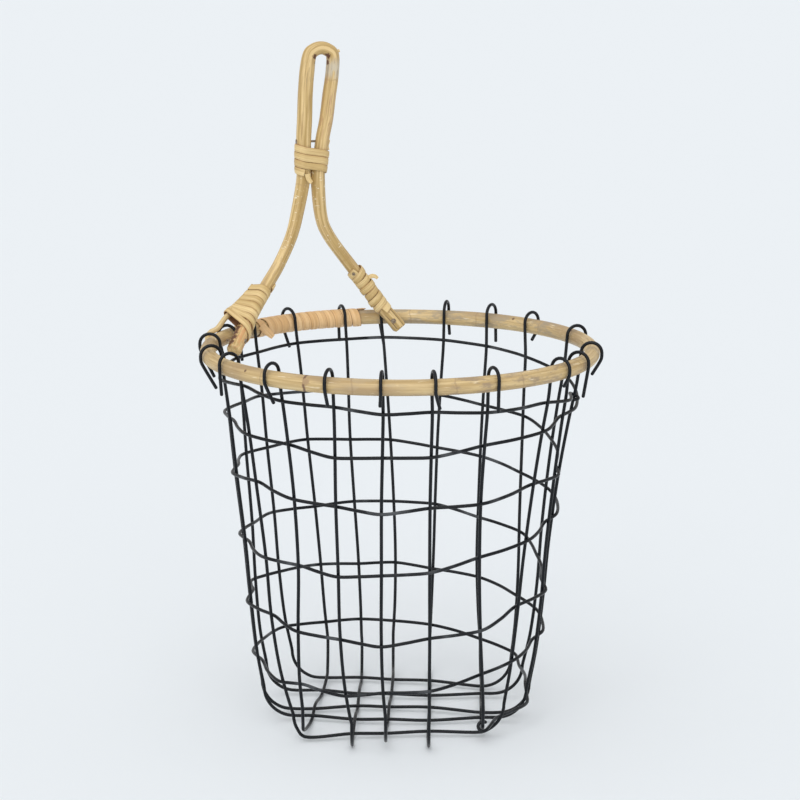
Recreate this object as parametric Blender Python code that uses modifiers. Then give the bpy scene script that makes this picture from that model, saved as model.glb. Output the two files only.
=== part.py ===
"""Onion basket: a cage of bent wires hooked over a loose rattan rim, with a rattan handle lashed to the rim.

Metres, +Z up. The origin is on the ground under the rim's centre.
The front is -Y, and the handle stands at the back left.
A turn share is a place round the basket as a share of a whole turn, from the front towards +X.
"""

import math

import bmesh
import bpy
import numpy as np
from mathutils import Matrix, Vector

# Whole basket
RIM_DIAMETER = 0.250
RIM_HEIGHT = 0.2487
HANDLE_RISE = 0.1890
WALL_FOOT_DIAMETER = 0.176
BASE_REACH = 0.060
BASE_BEND_RADIUS = 0.020
CAGE_SHIFT_LEFT = 0.00275
CAGE_SHIFT_BACK = 0.0030

# Stock
WIRE_DIAMETER = 0.0022
RIM_POLE_DIAMETER = 0.0104
HANDLE_POLE_DIAMETER = 0.0086
STAY_DIAMETER = 0.0036
STRIP_WIDTH = 0.0041
SPLICE_STRIP_WIDTH = 0.0055
STRIP_THICKNESS = 0.0009
NAIL_DIAMETER = 0.0016
NAIL_HEAD_DIAMETER = 0.0036
NAIL_HEAD_THICKNESS = 0.0007
NAIL_GRIP = 0.0060
TACK_DIAMETER = 0.0010
TACK_HEAD_DIAMETER = 0.0024
TACK_HEAD_THICKNESS = 0.0005
TACK_GRIP = 0.0025

# Clearances
TOUCH_GAP = 0.0003
HOOK_SIDE_GAP = 0.0004
STRIP_GAP = 0.0010
WAIST_STRIP_GAP = 0.0013
WAIST_GAP = 0.0026
RIM_JOINT_GAP = 0.0005
RIM_LIFT = 0.0030
LEAST_REACH = 0.0050
OVERRUN = 0.002

# Hooks and the weaver's eyes
HOOK_TAIL_DROP = 0.018
HOOK_TAIL_SWING = 0.004
HOOK_NECK = 0.0075
WEAVER_EYE_RADIUS = 0.0030
FLOOR_FLAT_SHARE = 0.1
CROSS_WIRE_WAVE_SHARE = 0.3
CORNER_LIFT_SHARE = 1.4
FRONT_LEFT_LIFT_SHARES = (0.15, 0.45)

# The wall's flare between its foot and the rim, as shares of (the rim's height, the flare, the shift)
WALL_SHARES = (
    (0.00, -0.13, 1.00), (0.05, 0.00, 1.00), (0.10, 0.10, 1.00), (0.19, 0.20, 1.00), (0.335, 0.33, 0.91),
    (0.495, 0.445, 0.84), (0.685, 0.635, 0.68), (0.835, 0.80, 0.26), (0.925, 0.92, 0.00), (1.00, 1.00, 0.00),
)
LOW_SHARE = 0.25
MIDDLE_SHARE = 0.60

# Wires from front to back, left one first: the front upright, the back upright, then the places across the
# base at the front, middle and back. An upright is its hook's turn share, the turn share that the tail leans in
# by, and shares of the tail's drop and swing and of the lift over the rim, then its turn shares low and halfway
# up the wall, and what its foot stands out by as a share of the foot's radius.
FRONT_BACK_WIRE_SHARES = (
    (
        (-0.108, 0.050, 0.83, 0.94, 1.0, -0.1125, -0.1006, 0.00),
        (-0.394, 0.041, 1.01, -0.80, 0.75, -0.4097, -0.4017, 0.00),
        (-1.05, -0.95, -0.85),
    ),
    (
        (-0.056, 0.055, 0.72, 0.12, 1.0, -0.0589, -0.0578, 0.00),
        (-0.447, 0.045, 0.95, 0.20, 0.3, -0.4569, -0.4500, 0.00),
        (-0.52, -0.48, -0.45),
    ),
    (
        (-0.014, 0.060, 0.64, -0.20, 1.0, -0.0153, -0.0142, 0.00),
        (-0.482, 0.036, 1.15, -0.75, 1.0, -0.5000, -0.4950, 0.00),
        (-0.16, -0.12, -0.08),
    ),
    (
        (0.026, 0.055, 0.75, 0.88, 1.0, 0.0356, 0.0317, 0.00),
        (0.458, 0.055, 0.71, -0.44, 1.6, 0.4569, 0.4569, 0.00),
        (0.30, 0.33, 0.35),
    ),
    (
        (0.075, 0.041, 1.01, 0.56, 1.0, 0.0947, 0.0822, 0.00),
        (0.415, 0.038, 0.86, -0.50, 1.6, 0.4011, 0.4064, 0.00),
        (0.89, 0.91, 0.95),
    ),
)

# Wires from left to right, front one first: the left upright, the right upright, then the places along the
# base at the left, middle and right
CROSS_WIRE_SHARES = (
    (
        (-0.163, 0.019, 0.96, -0.40, 1.0, -0.1525, -0.1542, 0.00),
        (0.147, 0.085, 0.53, 0.00, 0.6, 0.1494, 0.1494, -0.04),
        (-0.95, -0.81, -0.80),
    ),
    (
        (-0.208, 0.080, 1.08, 0.50, 0.6, -0.2139, -0.2111, 0.00),
        (0.178, 0.030, 1.15, 0.25, 0.6, 0.2139, 0.2014, 0.00),
        (-0.28, -0.41, -0.33),
    ),
    (
        (-0.262, 0.072, 1.15, -0.25, 0.6, -0.2528, -0.2472, 0.00),
        (0.222, 0.085, 0.71, 0.00, 0.6, 0.2333, 0.2167, 0.00),
        (-0.03, 0.03, -0.18),
    ),
    (
        (-0.311, 0.045, 0.90, 0.10, 0.3, -0.2970, -0.3011, 0.06),
        (0.303, 0.050, 0.90, -0.20, 0.6, 0.2850, 0.2944, 0.00),
        (0.60, 0.44, 0.47),
    ),
    (
        (-0.343, 0.018, 1.20, 0.00, 1.0, -0.3500, -0.3450, 0.05),
        (0.371, 0.075, 0.60, 0.50, 1.0, 0.3328, 0.3478, 0.00),
        (1.03, 0.98, 0.73),
    ),
)

# The weaver's heights, one row a turn from the top, eight to a turn, as shares of the rim's height, and then
# its end as (turns gone, share of the rim's height)
WEAVER_START_SHARE = 0.222
WEAVER_HEIGHT_SHARES = (
    (0.897, 0.922, 0.930, 0.950, 0.940, 0.948, 0.945, 0.918),
    (0.864, 0.832, 0.804, 0.829, 0.832, 0.812, 0.790, 0.750),
    (0.704, 0.684, 0.664, 0.697, 0.685, 0.675, 0.645, 0.600),
    (0.574, 0.534, 0.489, 0.502, 0.500, 0.487, 0.482, 0.430),
    (0.389, 0.342, 0.307, 0.335, 0.340, 0.315, 0.298, 0.265),
    (0.241, 0.208, 0.169, 0.165, 0.173, 0.153, 0.133, 0.100),
)
WEAVER_END_SHARES = ((6.00, 0.088), (6.035, 0.068), (6.075, 0.044), (6.20, 0.044))
WEAVER_LAST_CROSSING = 123
EYE_TURN_SHARE = 0.8

# The handle's two legs from the waist to the foot, as (turn share, share of the rise)
LEFT_LEG_SHARES = (
    (-0.3985, 0.585), (-0.3983, 0.530), (-0.3920, 0.425), (-0.3840, 0.332), (-0.3680, 0.237),
    (-0.3510, 0.171), (-0.3310, 0.106), (-0.3120, 0.046), (-0.2880, -0.012), (-0.2790, -0.026),
)
RIGHT_LEG_SHARES = (
    (-0.4132, 0.585), (-0.4120, 0.530), (-0.4162, 0.398), (-0.4256, 0.320), (-0.4480, 0.212),
    (-0.4640, 0.136), (-0.4800, 0.056), (-0.4920, 0.006), (-0.5000, -0.031),
)

# The thin stay beside the left leg, as (turn share, share of the rise, share of the way out to the rim's middle), and
# then over the rim as (turn share, share of a turn round it from its outside)
STAY_SHARES = (
    (-0.3570, 0.198, 0.51), (-0.3500, 0.178, 0.51), (-0.3417, 0.155, 0.52),
    (-0.3297, 0.121, 0.66), (-0.3150, 0.090, 0.83), (-0.3040, 0.068, 0.95),
)
STAY_RIM_SHARES = ((-0.2955, 0.21), (-0.2920, 0.12), (-0.2905, 0.03), (-0.2895, -0.08), (-0.2885, -0.15))

# The handle's loop above the waist, as shares of (the rise, the lean, the opening), and its round top
WAIST_TURN_SHARE = -0.4089
LOOP_TURN_SHARE = -0.4205
LOOP_TWIST_SHARE = 0.042
LOOP_OPENING = 0.0095
LOOP_SHARES = ((0.675, 0.19, 0.30), (0.745, 0.43, 0.59), (0.830, 0.62, 0.82), (0.910, 0.85, 0.97))
LOOP_TOP_SHARES = (0.86, 0.68, 0.50, 0.32, 0.14)

# Wrappings of rattan strip
STRIP_POINTS_A_TURN = 14
WAIST_TURNS = 4.5
WAIST_TOP_SHARE = 0.640
LEFT_START_SHARE = 0.25
LEFT_LEG_TURNS = 5
LEFT_RIM_TURNS = 1.1875
LEFT_TOP_SHARE = 0.165
LEFT_FAN = 0.0020
RIGHT_TURNS = 7
RIGHT_TOP_SHARE = 0.190
SPLICE_TURNS = 12.5
SPLICE_START_SHARE = -0.362
RIM_JOINT_SHARE = -0.412
RIM_STEPS = 60

# Nails: heights as shares of the rise
WAIST_NAIL_SHARE = 0.668
LEG_NAIL_SHARE = 0.0

# Colours, roughness and metallic values
RATTAN_POLE = ((0.62, 0.47, 0.27), 0.55, 0.0)
RIM_RATTAN = ((0.53, 0.42, 0.27), 0.60, 0.0)
RATTAN_STRIP = ((0.72, 0.55, 0.32), 0.50, 0.0)
SPLICE_STRIP = ((0.66, 0.46, 0.29), 0.55, 0.0)
BLACK_COAT = ((0.018, 0.018, 0.020), 0.45, 0.0)
BARE_STEEL = ((0.35, 0.34, 0.33), 0.40, 1.0)

# Worked out from the sizes above
TURN = 2 * math.pi
UP = Vector((0, 0, 1))
WIRE_RADIUS = WIRE_DIAMETER / 2
RIM_RADIUS = RIM_DIAMETER / 2
RIM_POLE_RADIUS = RIM_POLE_DIAMETER / 2
HANDLE_POLE_RADIUS = HANDLE_POLE_DIAMETER / 2
STAY_RADIUS = STAY_DIAMETER / 2
WALL_FOOT_RADIUS = WALL_FOOT_DIAMETER / 2
CROSSING_STEP = WIRE_DIAMETER + TOUCH_GAP
FLOOR_FLAT = WIRE_DIAMETER * FLOOR_FLAT_SHARE
FRONT_BACK_WAVE = CROSSING_STEP * (1 - CROSS_WIRE_WAVE_SHARE / 2)
CROSS_WIRE_WAVE = CROSSING_STEP * CROSS_WIRE_WAVE_SHARE / 2
BASE_LEVEL = FRONT_BACK_WAVE + WIRE_RADIUS - FLOOR_FLAT
HOOK_RADIUS = RIM_POLE_RADIUS + HOOK_SIDE_GAP + WIRE_RADIUS
STRIP_REACH = TOUCH_GAP + STRIP_THICKNESS
HANDLE_RADIUS = RIM_RADIUS - RIM_POLE_RADIUS - STRIP_REACH - WIRE_DIAMETER - HOOK_SIDE_GAP - HANDLE_POLE_RADIUS
STRIP_PITCH = STRIP_WIDTH + STRIP_GAP
SPLICE_PITCH = SPLICE_STRIP_WIDTH + STRIP_GAP
SPLICE_END_SHARE = SPLICE_START_SHARE - SPLICE_TURNS * SPLICE_PITCH / (TURN * RIM_RADIUS)


def start_collections():
    for obj in list(bpy.data.objects):
        bpy.data.objects.remove(obj)
    made = []
    for name in ("onion_basket", "cutters"):
        collection = bpy.data.collections.new(name)
        bpy.context.scene.collection.children.link(collection)
        made.append(collection)
    return made


def new_material(name, look):
    colour, roughness, metallic = look
    material = bpy.data.materials.new(name)
    material.use_nodes = True
    surface = material.node_tree.nodes["Principled BSDF"]
    surface.inputs["Base Color"].default_value = (*colour, 1)
    surface.inputs["Roughness"].default_value = roughness
    surface.inputs["Metallic"].default_value = metallic
    material.diffuse_color = (*colour, 1)
    return material


def add_object(name, data, collection, look):
    obj = bpy.data.objects.new(name, data)
    collection.objects.link(obj)
    data.materials.append(new_material(name, look))
    return obj


def round_place(turn_share, radius, height):
    angle = turn_share * TURN
    return Vector((radius * math.sin(angle), -radius * math.cos(angle), height))


def outward(place):
    return Vector((place.x, place.y, 0)).normalized()


def turn_share_of(place):
    return math.atan2(place.x, -place.y) / TURN


def between(table, x):
    """The value at x on straight runs through a table of (x, value)."""
    xs, values = zip(*table)
    return float(np.interp(x, xs, values))


def smooth_path(places, steps):
    """Points on a smooth curve through the places, with this many steps between each two."""
    ends = [2 * places[0] - places[1], *places, 2 * places[-1] - places[-2]]
    points = []
    for before, start, end, after in zip(ends, ends[1:], ends[2:], ends[3:]):
        for step in range(steps):
            t = step / steps
            bend = (end - before) * t + (2 * before - 5 * start + 4 * end - after) * t**2
            bend += (3 * start - before - 3 * end + after) * t**3
            points.append(start + bend / 2)
    return points + [places[-1]]


def least_gap(points, apart):
    """The least distance between points at least this many places apart along the run."""
    places = np.array(points)
    least = math.inf
    for number in range(len(places) - apart):
        rest = places[number + apart:] - places[number]
        least = min(least, float(np.sqrt((rest**2).sum(axis=1)).min()))
    return least


def tube(name, points, radius, resolution, collection, look):
    """A round bar along the points, with closed ends."""
    curve = bpy.data.curves.new(name, "CURVE")
    curve.dimensions = "3D"
    curve.bevel_depth = radius
    curve.bevel_resolution = resolution
    curve.use_fill_caps = True
    spline = curve.splines.new("POLY")
    spline.points.add(len(points) - 1)
    for spot, place in zip(spline.points, points):
        spot.co = (*place, 1)
    return add_object(name, curve, collection, look)


def as_mesh(obj):
    """The curve object made a mesh object of the same name, so that it takes Booleans."""
    graph = bpy.context.evaluated_depsgraph_get()
    mesh = bpy.data.meshes.new_from_object(obj.evaluated_get(graph))
    work = bmesh.new()
    work.from_mesh(mesh)
    bmesh.ops.remove_doubles(work, verts=work.verts, dist=WIRE_DIAMETER / 1000)
    bmesh.ops.recalc_face_normals(work, faces=work.faces)
    work.to_mesh(mesh)
    work.free()
    name, collection, place = obj.name, obj.users_collection[0], obj.matrix_world.copy()
    bpy.data.objects.remove(obj)
    solid = bpy.data.objects.new(name, mesh)
    solid.matrix_world = place
    collection.objects.link(solid)
    return solid


def cut(obj, cutter):
    modifier = obj.modifiers.new(cutter.name, "BOOLEAN")
    modifier.operation = "DIFFERENCE"
    modifier.solver = "EXACT"
    modifier.object = cutter


def add_cutter(name, mesh, cutters):
    obj = bpy.data.objects.new(name, mesh)
    cutters.objects.link(obj)
    obj.hide_render = True
    obj.display_type = "WIRE"
    return obj


def add_floor_cutter(cutters):
    work = bmesh.new()
    side = 2 * (WALL_FOOT_RADIUS + OVERRUN)
    bmesh.ops.create_cube(work, size=1, matrix=Matrix.Diagonal((side, side, OVERRUN, 1)))
    bmesh.ops.translate(work, verts=work.verts, vec=(0, 0, -OVERRUN / 2))
    mesh = bpy.data.meshes.new("floor_cutter")
    work.to_mesh(mesh)
    work.free()
    return add_cutter("floor_cutter", mesh, cutters)


def add_hole_cutter(name, start, end, radius, cutters):
    work = bmesh.new()
    bmesh.ops.create_cone(
        work, cap_ends=True, segments=12, radius1=radius, radius2=radius, depth=(end - start).length,
    )
    turned = (end - start).to_track_quat("Z", "Y").to_matrix().to_4x4()
    bmesh.ops.transform(work, matrix=Matrix.Translation((start + end) / 2) @ turned, verts=work.verts)
    mesh = bpy.data.meshes.new(name)
    work.to_mesh(mesh)
    work.free()
    return add_cutter(name, mesh, cutters)


# Wire cage


def hook_radius_at(turn_share):
    """Wider where the hook also goes over the rim's binding."""
    bound = SPLICE_END_SHARE < turn_share < SPLICE_START_SHARE
    return HOOK_RADIUS + (STRIP_REACH if bound else 0)


def across(shares, along):
    """Where a base wire lies across, at a place along it, on an even curve through its three shares."""
    near, middle, far = (share * BASE_REACH for share in shares)
    t = along / BASE_REACH
    return middle + (far - near) / 2 * t + ((near + far) / 2 - middle) * t**2


def base_crossing(front_back_wire, cross_wire):
    """The place in plan where two wires of the base cross."""
    x = y = 0
    for _ in range(8):
        x = across(front_back_wire[2], y)
        y = across(cross_wire[2], x)
    return Vector((x, y, 0))


def wall_centre(height):
    """The wall's middle, which stands off the rim's middle by the shift."""
    share = between([(rise, shift) for rise, _, shift in WALL_SHARES], height / RIM_HEIGHT)
    return Vector((-CAGE_SHIFT_LEFT, CAGE_SHIFT_BACK, 0)) * share


def wall_reach(place, direction, radius):
    """How far the wall is from a place in the base. Where the base reaches past it, the wall stands out for it."""
    inside = place.dot(direction)
    off_line = (place.xy - direction.xy * inside).length
    return max(math.sqrt(max(radius**2 - off_line**2, 0)) - inside, LEAST_REACH)


def bend_lift(reach):
    """How high the bend up to the wall is at this distance before the wall."""
    gone = max(BASE_BEND_RADIUS - reach, 0)
    return BASE_BEND_RADIUS - math.sqrt(BASE_BEND_RADIUS**2 - gone**2)


class Upright:
    """One end of a bent wire: its bend at the base's edge, its run up the wall and its hook over the rim."""

    def __init__(self, shares, last_crossing, direction):
        self.turn_share, self.lean_share, self.drop_share, self.swing_share, lift_share = shares[:5]
        self.low_share, self.middle_share, self.foot_share = shares[5:]
        self.lift = RIM_LIFT * lift_share
        self.hook_radius = hook_radius_at(self.turn_share)
        self.points = [*self.bend(last_crossing, direction)]
        self.points += self.wall(self.points[-1])

    def wall_radius(self, height):
        flare = between([(rise, share) for rise, share, _ in WALL_SHARES], height / RIM_HEIGHT)
        even = WALL_FOOT_RADIUS + (RIM_RADIUS - self.hook_radius - WALL_FOOT_RADIUS) * flare
        return even + WALL_FOOT_RADIUS * self.foot_share * (1 - height / RIM_HEIGHT)**2

    def bend(self, last_crossing, direction):
        """From the base up to the wall, from partway round where the last crossing is near the wall."""
        place = last_crossing - wall_centre(BASE_BEND_RADIUS)
        reach = wall_reach(place, direction, self.wall_radius(BASE_BEND_RADIUS))
        start = reach - BASE_BEND_RADIUS
        foot = last_crossing - UP * bend_lift(reach)
        if start > LEAST_REACH:
            yield foot + direction * start
        for rise in (0.10, 0.35, 0.70, 1.00):
            along = start + BASE_BEND_RADIUS * math.sqrt(1 - (1 - rise)**2)
            if along > LEAST_REACH / 2:
                yield foot + direction * along + UP * BASE_BEND_RADIUS * rise

    def wall(self, foot):
        """Up from the foot, drifting round to the hook's place."""
        foot_turn = turn_share_of(foot - wall_centre(foot.z))
        foot_turn -= round(foot_turn - self.low_share)
        low, middle, top = (RIM_HEIGHT * share for share in (LOW_SHARE, MIDDLE_SHARE, 1))
        drift = ((foot.z, foot_turn), (low, self.low_share), (middle, self.middle_share), (top, self.turn_share))
        heights = [RIM_HEIGHT * share for share, *_ in WALL_SHARES]
        heights = [height for height in heights if foot.z + HOOK_NECK / 2 < height < RIM_HEIGHT - HOOK_NECK]
        for height in (*heights, RIM_HEIGHT - HOOK_NECK):
            yield round_place(between(drift, height), self.wall_radius(height), height) + wall_centre(height)

    def at(self, height):
        """The wire's place and direction at a height, on its bend or on the wall."""
        for start, end in zip(self.points, self.points[1:]):
            if height <= end.z:
                break
        return start + (end - start) * ((height - start.z) / (end.z - start.z)), (end - start).normalized()

    def beside(self, height, distance):
        """A place outside the wire at a height, or inside it for a distance below nought."""
        place, along = self.at(height)
        out = outward(place)
        return place + (out - along * out.dot(along)).normalized() * distance

    def hook(self):
        """Up past the rim, over it, and round its outside to the tail's end."""
        radius = self.hook_radius
        lean = self.lean_share * TURN
        out = outward(round_place(self.turn_share, 1, 0))
        centre = out * RIM_RADIUS + UP * RIM_HEIGHT
        for step in range(7):
            angle = math.pi * (1 - step / 6)
            yield centre + out * radius * math.cos(angle) + UP * (self.lift + radius * math.sin(angle))
        for angle in (0, lean / 2, lean):
            yield centre + out * radius * math.cos(angle) - UP * radius * math.sin(angle)
        tail = (HOOK_TAIL_DROP * self.drop_share - radius * math.sin(lean)) / math.cos(lean)
        end = centre + out * radius * math.cos(lean) - UP * radius * math.sin(lean)
        end -= (out * math.sin(lean) + UP * math.cos(lean)) * tail
        yield end + UP.cross(out) * HOOK_TAIL_SWING * self.swing_share

    def route(self):
        return [*self.points, *self.hook()]


def corner_lift(number, other_number, spot):
    """At a corner of the base, both wires are already on their way up."""
    last = len(CROSS_WIRE_SHARES) - 1
    if number not in (0, last) or other_number not in (0, last):
        return 0
    place = spot - wall_centre(0)
    sideways = wall_reach(place, Vector((math.copysign(1, place.x), 0, 0)), WALL_FOOT_RADIUS)
    lengthways = wall_reach(place, Vector((0, math.copysign(1, place.y), 0)), WALL_FOOT_RADIUS)
    return (bend_lift(sideways) + bend_lift(lengthways)) / 2


def base_places(wire, number, others, runs_back):
    """The wire's crossings, over and under the other wires by turns."""
    crossings = []
    for other_number, other in enumerate(others):
        spot = base_crossing(wire, other) if runs_back else base_crossing(other, wire)
        over = ((number + other_number) % 2 == 0) == runs_back
        wave = FRONT_BACK_WAVE if runs_back else CROSS_WIRE_WAVE
        lift = corner_lift(number, other_number, spot) * (CORNER_LIFT_SHARE if over else 1)
        if number == other_number == 0:
            lift = corner_lift(number, other_number, spot) * FRONT_LEFT_LIFT_SHARES[over]
        spot.z = BASE_LEVEL + (wave if over else -wave) + lift
        crossings.append(spot)
    return crossings


def wire_plan():
    """Each bent wire as (name, one upright, base places, the other upright)."""
    plan = []
    for kind, family, others, along in (
        ("front_back_wire", FRONT_BACK_WIRE_SHARES, CROSS_WIRE_SHARES, Vector((0, 1, 0))),
        ("cross_wire", CROSS_WIRE_SHARES, FRONT_BACK_WIRE_SHARES, Vector((1, 0, 0))),
    ):
        for number, wire in enumerate(family):
            places = base_places(wire, number, others, family is FRONT_BACK_WIRE_SHARES)
            near = Upright(wire[0], places[0], -along)
            far = Upright(wire[1], places[-1], along)
            plan.append((f"{kind}_{number + 1}", near, places, far))
    return plan


def add_bent_wires(plan, parts, cutters):
    floor_cutter = add_floor_cutter(cutters)
    for name, near, places, far in plan:
        route = [*reversed(near.route()), *places, *far.route()]
        wire = as_mesh(tube(name, route, WIRE_RADIUS, 2, parts, BLACK_COAT))
        cut(wire, floor_cutter)


def eye_round(upright, height, side, climb):
    """Points of a small open eye round an upright, from its inside or its outside."""
    centre, along = upright.at(height)
    out = (upright.beside(height, CROSSING_STEP) - centre).normalized()
    beside = along.cross(out)
    points = []
    for step in range(13):
        angle = (0 if side > 0 else math.pi) - EYE_TURN_SHARE * TURN * step / 12
        reach = out * math.cos(angle) + beside * math.sin(angle)
        points.append(centre + reach * WEAVER_EYE_RADIUS + along * climb * step / 12)
    return points


def weaver_route(plan):
    """In and out round the uprights, a double pass once a turn, down from under the rim to the base's corner."""
    uprights = [end for _, near, _, far in plan for end in (near, far)]
    uprights.sort(key=lambda end: (WEAVER_START_SHARE - end.turn_share) % 1)
    heights = [share for row in WEAVER_HEIGHT_SHARES for share in row]
    stations = [(number / 8, share) for number, share in enumerate(heights)]
    stations += WEAVER_END_SHARES
    crossings = []
    for number in range(WEAVER_LAST_CROSSING + 1):
        turn, which = divmod(number, len(uprights))
        upright = uprights[which]
        gone = turn + (WEAVER_START_SHARE - upright.turn_share) % 1
        height = between(stations, gone) * RIM_HEIGHT
        side = 1 if (number + turn) % 2 else -1
        spot = upright.beside(height, side * CROSSING_STEP)
        crossings.append((spot, upright, height, side))
    points = []
    for (spot, *_), (following, *_) in zip(crossings, crossings[1:]):
        middle = (spot + following) / 2
        middle += outward(middle) * ((spot.xy.length + following.xy.length) / 2 - middle.xy.length)
        points += [spot, middle]
    step = WIRE_DIAMETER + STRIP_GAP
    start_eye = eye_round(*crossings[0][1:], -step)
    end_eye = eye_round(*crossings[-1][1:], step)
    return [*reversed(start_eye), *points[1:], *end_eye]


def add_weaver(plan, parts):
    points = weaver_route(plan)
    print(f"weaver_wire: least gap to itself {least_gap(points, 20) - WIRE_DIAMETER:.4f} m")
    tube("weaver_wire", points, WIRE_RADIUS, 1, parts, BLACK_COAT)


# Rattan rim and handle


def rim_points():
    """An open hoop, whose ends meet under the binding."""
    gap_share = RIM_JOINT_GAP / (TURN * RIM_RADIUS)
    shares = [RIM_JOINT_SHARE + gap_share + (1 - gap_share) * step / RIM_STEPS for step in range(RIM_STEPS + 1)]
    return [round_place(share, RIM_RADIUS, RIM_HEIGHT) for share in shares]


def rim_place(turn_share):
    """On the straight steps that the hoop is made in."""
    points = rim_points()
    steps = (turn_share - turn_share_of(points[0])) % 1 * RIM_STEPS
    number = min(int(steps), RIM_STEPS - 1)
    return points[number] + (points[number + 1] - points[number]) * (steps - number)


def add_rim(parts):
    return as_mesh(tube("rim_hoop", rim_points(), RIM_POLE_RADIUS, 3, parts, RIM_RATTAN))


def handle_place(turn_share, rise_share):
    return round_place(turn_share, HANDLE_RADIUS, RIM_HEIGHT + HANDLE_RISE * rise_share)


def pair_direction():
    """From the left pole of the loop to the right one."""
    back_tangent = outward(handle_place(WAIST_TURN_SHARE, 0)).cross(UP)
    return Matrix.Rotation(-LOOP_TWIST_SHARE * TURN, 3, "Z") @ back_tangent


def leg_places(shares, side):
    """From the waist down to the foot, with the waist's poles side by side."""
    waist = handle_place(WAIST_TURN_SHARE, shares[0][1])
    half_pair = (HANDLE_POLE_DIAMETER + WAIST_GAP) / 2
    shift = waist + pair_direction() * side * half_pair - handle_place(*shares[0])
    places = []
    for turn_share, rise_share in shares:
        hold = max(0, rise_share / shares[0][1])
        places.append(handle_place(turn_share, rise_share) + shift * hold)
    return places


def loop_places():
    """From the left pole above the waist, over the loop's top and down the right pole."""
    pair = pair_direction()
    half_waist = (HANDLE_POLE_DIAMETER + WAIST_GAP) / 2
    half_loop = (HANDLE_POLE_DIAMETER + LOOP_OPENING) / 2
    left, right = [], []
    for rise_share, lean_share, opening_share in LOOP_SHARES:
        turn_share = WAIST_TURN_SHARE + (LOOP_TURN_SHARE - WAIST_TURN_SHARE) * lean_share
        centre = handle_place(turn_share, rise_share)
        half = half_waist + (half_loop - half_waist) * opening_share
        left.append(centre - pair * half)
        right.append(centre + pair * half)
    shoulder = handle_place(LOOP_TURN_SHARE, 1) - UP * half_loop
    top = []
    for share in LOOP_TOP_SHARES:
        top.append(shoulder + (pair * math.cos(math.pi * share) + UP * math.sin(math.pi * share)) * half_loop)
    return [*left, *top, *reversed(right)]


def handle_points():
    left = leg_places(LEFT_LEG_SHARES, -1)
    right = leg_places(RIGHT_LEG_SHARES, 1)
    return smooth_path([*reversed(left), *loop_places(), *right], 2)


class Leg:
    """One side of the handle, from the loop's top down to the foot."""

    def __init__(self, side):
        points = handle_points()
        highest = max(range(len(points)), key=lambda number: points[number].z)
        self.points = points[highest:] if side > 0 else points[highest::-1]
        self.lengths = [0]
        for start, end in zip(self.points, self.points[1:]):
            self.lengths.append(self.lengths[-1] + (end - start).length)

    def length_at(self, rise_share):
        heights = [(-point.z, length) for point, length in zip(self.points, self.lengths)]
        return between(heights, -(RIM_HEIGHT + HANDLE_RISE * rise_share))

    def at(self, length):
        """The pole's place and direction at a length from the top."""
        number = min(max(int(np.searchsorted(self.lengths, length)) - 1, 0), len(self.points) - 2)
        start, end = self.points[number], self.points[number + 1]
        t = (length - self.lengths[number]) / (self.lengths[number + 1] - self.lengths[number])
        before = end - self.points[max(number - 1, 0)]
        after = self.points[min(number + 2, len(self.points) - 1)] - start
        return start + (end - start) * t, (before.normalized() * (1 - t) + after.normalized() * t).normalized()


def add_handle(parts):
    return as_mesh(tube("handle_pole", handle_points(), HANDLE_POLE_RADIUS, 3, parts, RATTAN_POLE))


def stay_points():
    """The thin stay, from beside the leg's top turns over the rim to its outside."""
    places = []
    for turn_share, rise_share, out_share in STAY_SHARES:
        radius = HANDLE_RADIUS + (RIM_RADIUS - HANDLE_RADIUS) * out_share
        places.append(round_place(turn_share, radius, RIM_HEIGHT + HANDLE_RISE * rise_share))
    reach = RIM_POLE_RADIUS + 2 * TOUCH_GAP + STAY_RADIUS
    for turn_share, round_share in STAY_RIM_SHARES:
        angle = round_share * TURN
        places.append(
            round_place(turn_share, RIM_RADIUS + reach * math.cos(angle), RIM_HEIGHT + reach * math.sin(angle))
        )
    return smooth_path(places, 3)


def add_stay(parts):
    return tube("left_leg_stay", stay_points(), STAY_RADIUS, 2, parts, RATTAN_STRIP)


# Wrappings


def drawn_radius(radius):
    """The inner corners' radius of a strip wound in straight steps, so that it stays clear of the pole."""
    return (radius + TOUCH_GAP) / math.cos(TURN / 2 / STRIP_POINTS_A_TURN)


def band_section(poles, origin, facing, look):
    """A strip drawn tight round the poles, in a plane through the origin.

    It gives the strip's place, its outside, and which pole it is on. Each pole is its place, direction and radius.
    """
    found, most = None, -math.inf
    for number, (place, along, radius) in enumerate(poles):
        square = along.dot(facing)
        centre = place - along * ((place - origin).dot(facing) / square)
        slant = along - facing * square
        lean = slant.dot(look) / square**2
        spot = centre + (look + slant * lean) * drawn_radius(radius) / math.sqrt(1 + slant.dot(look) * lean)
        if (spot - origin).dot(look) > most:
            most = (spot - origin).dot(look)
            reach = spot - place
            found = (spot, (reach - along * reach.dot(along)).normalized(), number)
    return found


def wound_sections(section_at, turns):
    """Sections at even steps, and a pair at each place where the strip leaves one pole for another."""
    found = []
    steps = round(turns * STRIP_POINTS_A_TURN)
    for step in range(steps + 1):
        low, high = (step - 1) / STRIP_POINTS_A_TURN, step / STRIP_POINTS_A_TURN
        if found and section_at(low)[2] != section_at(high)[2]:
            for _ in range(12):
                middle = (low + high) / 2
                if section_at(middle)[2] == section_at(low)[2]:
                    low = middle
                else:
                    high = middle
            found += [section_at(low), section_at(high)]
        found.append(section_at(step / STRIP_POINTS_A_TURN))
    return [(place, out) for place, out, _ in found]


def turned_look(facing, start_look, turns):
    """The start look, laid square to the facing direction and turned about it."""
    look = (start_look - facing * start_look.dot(facing)).normalized()
    return Matrix.Rotation(turns * TURN, 3, facing) @ look


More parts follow.
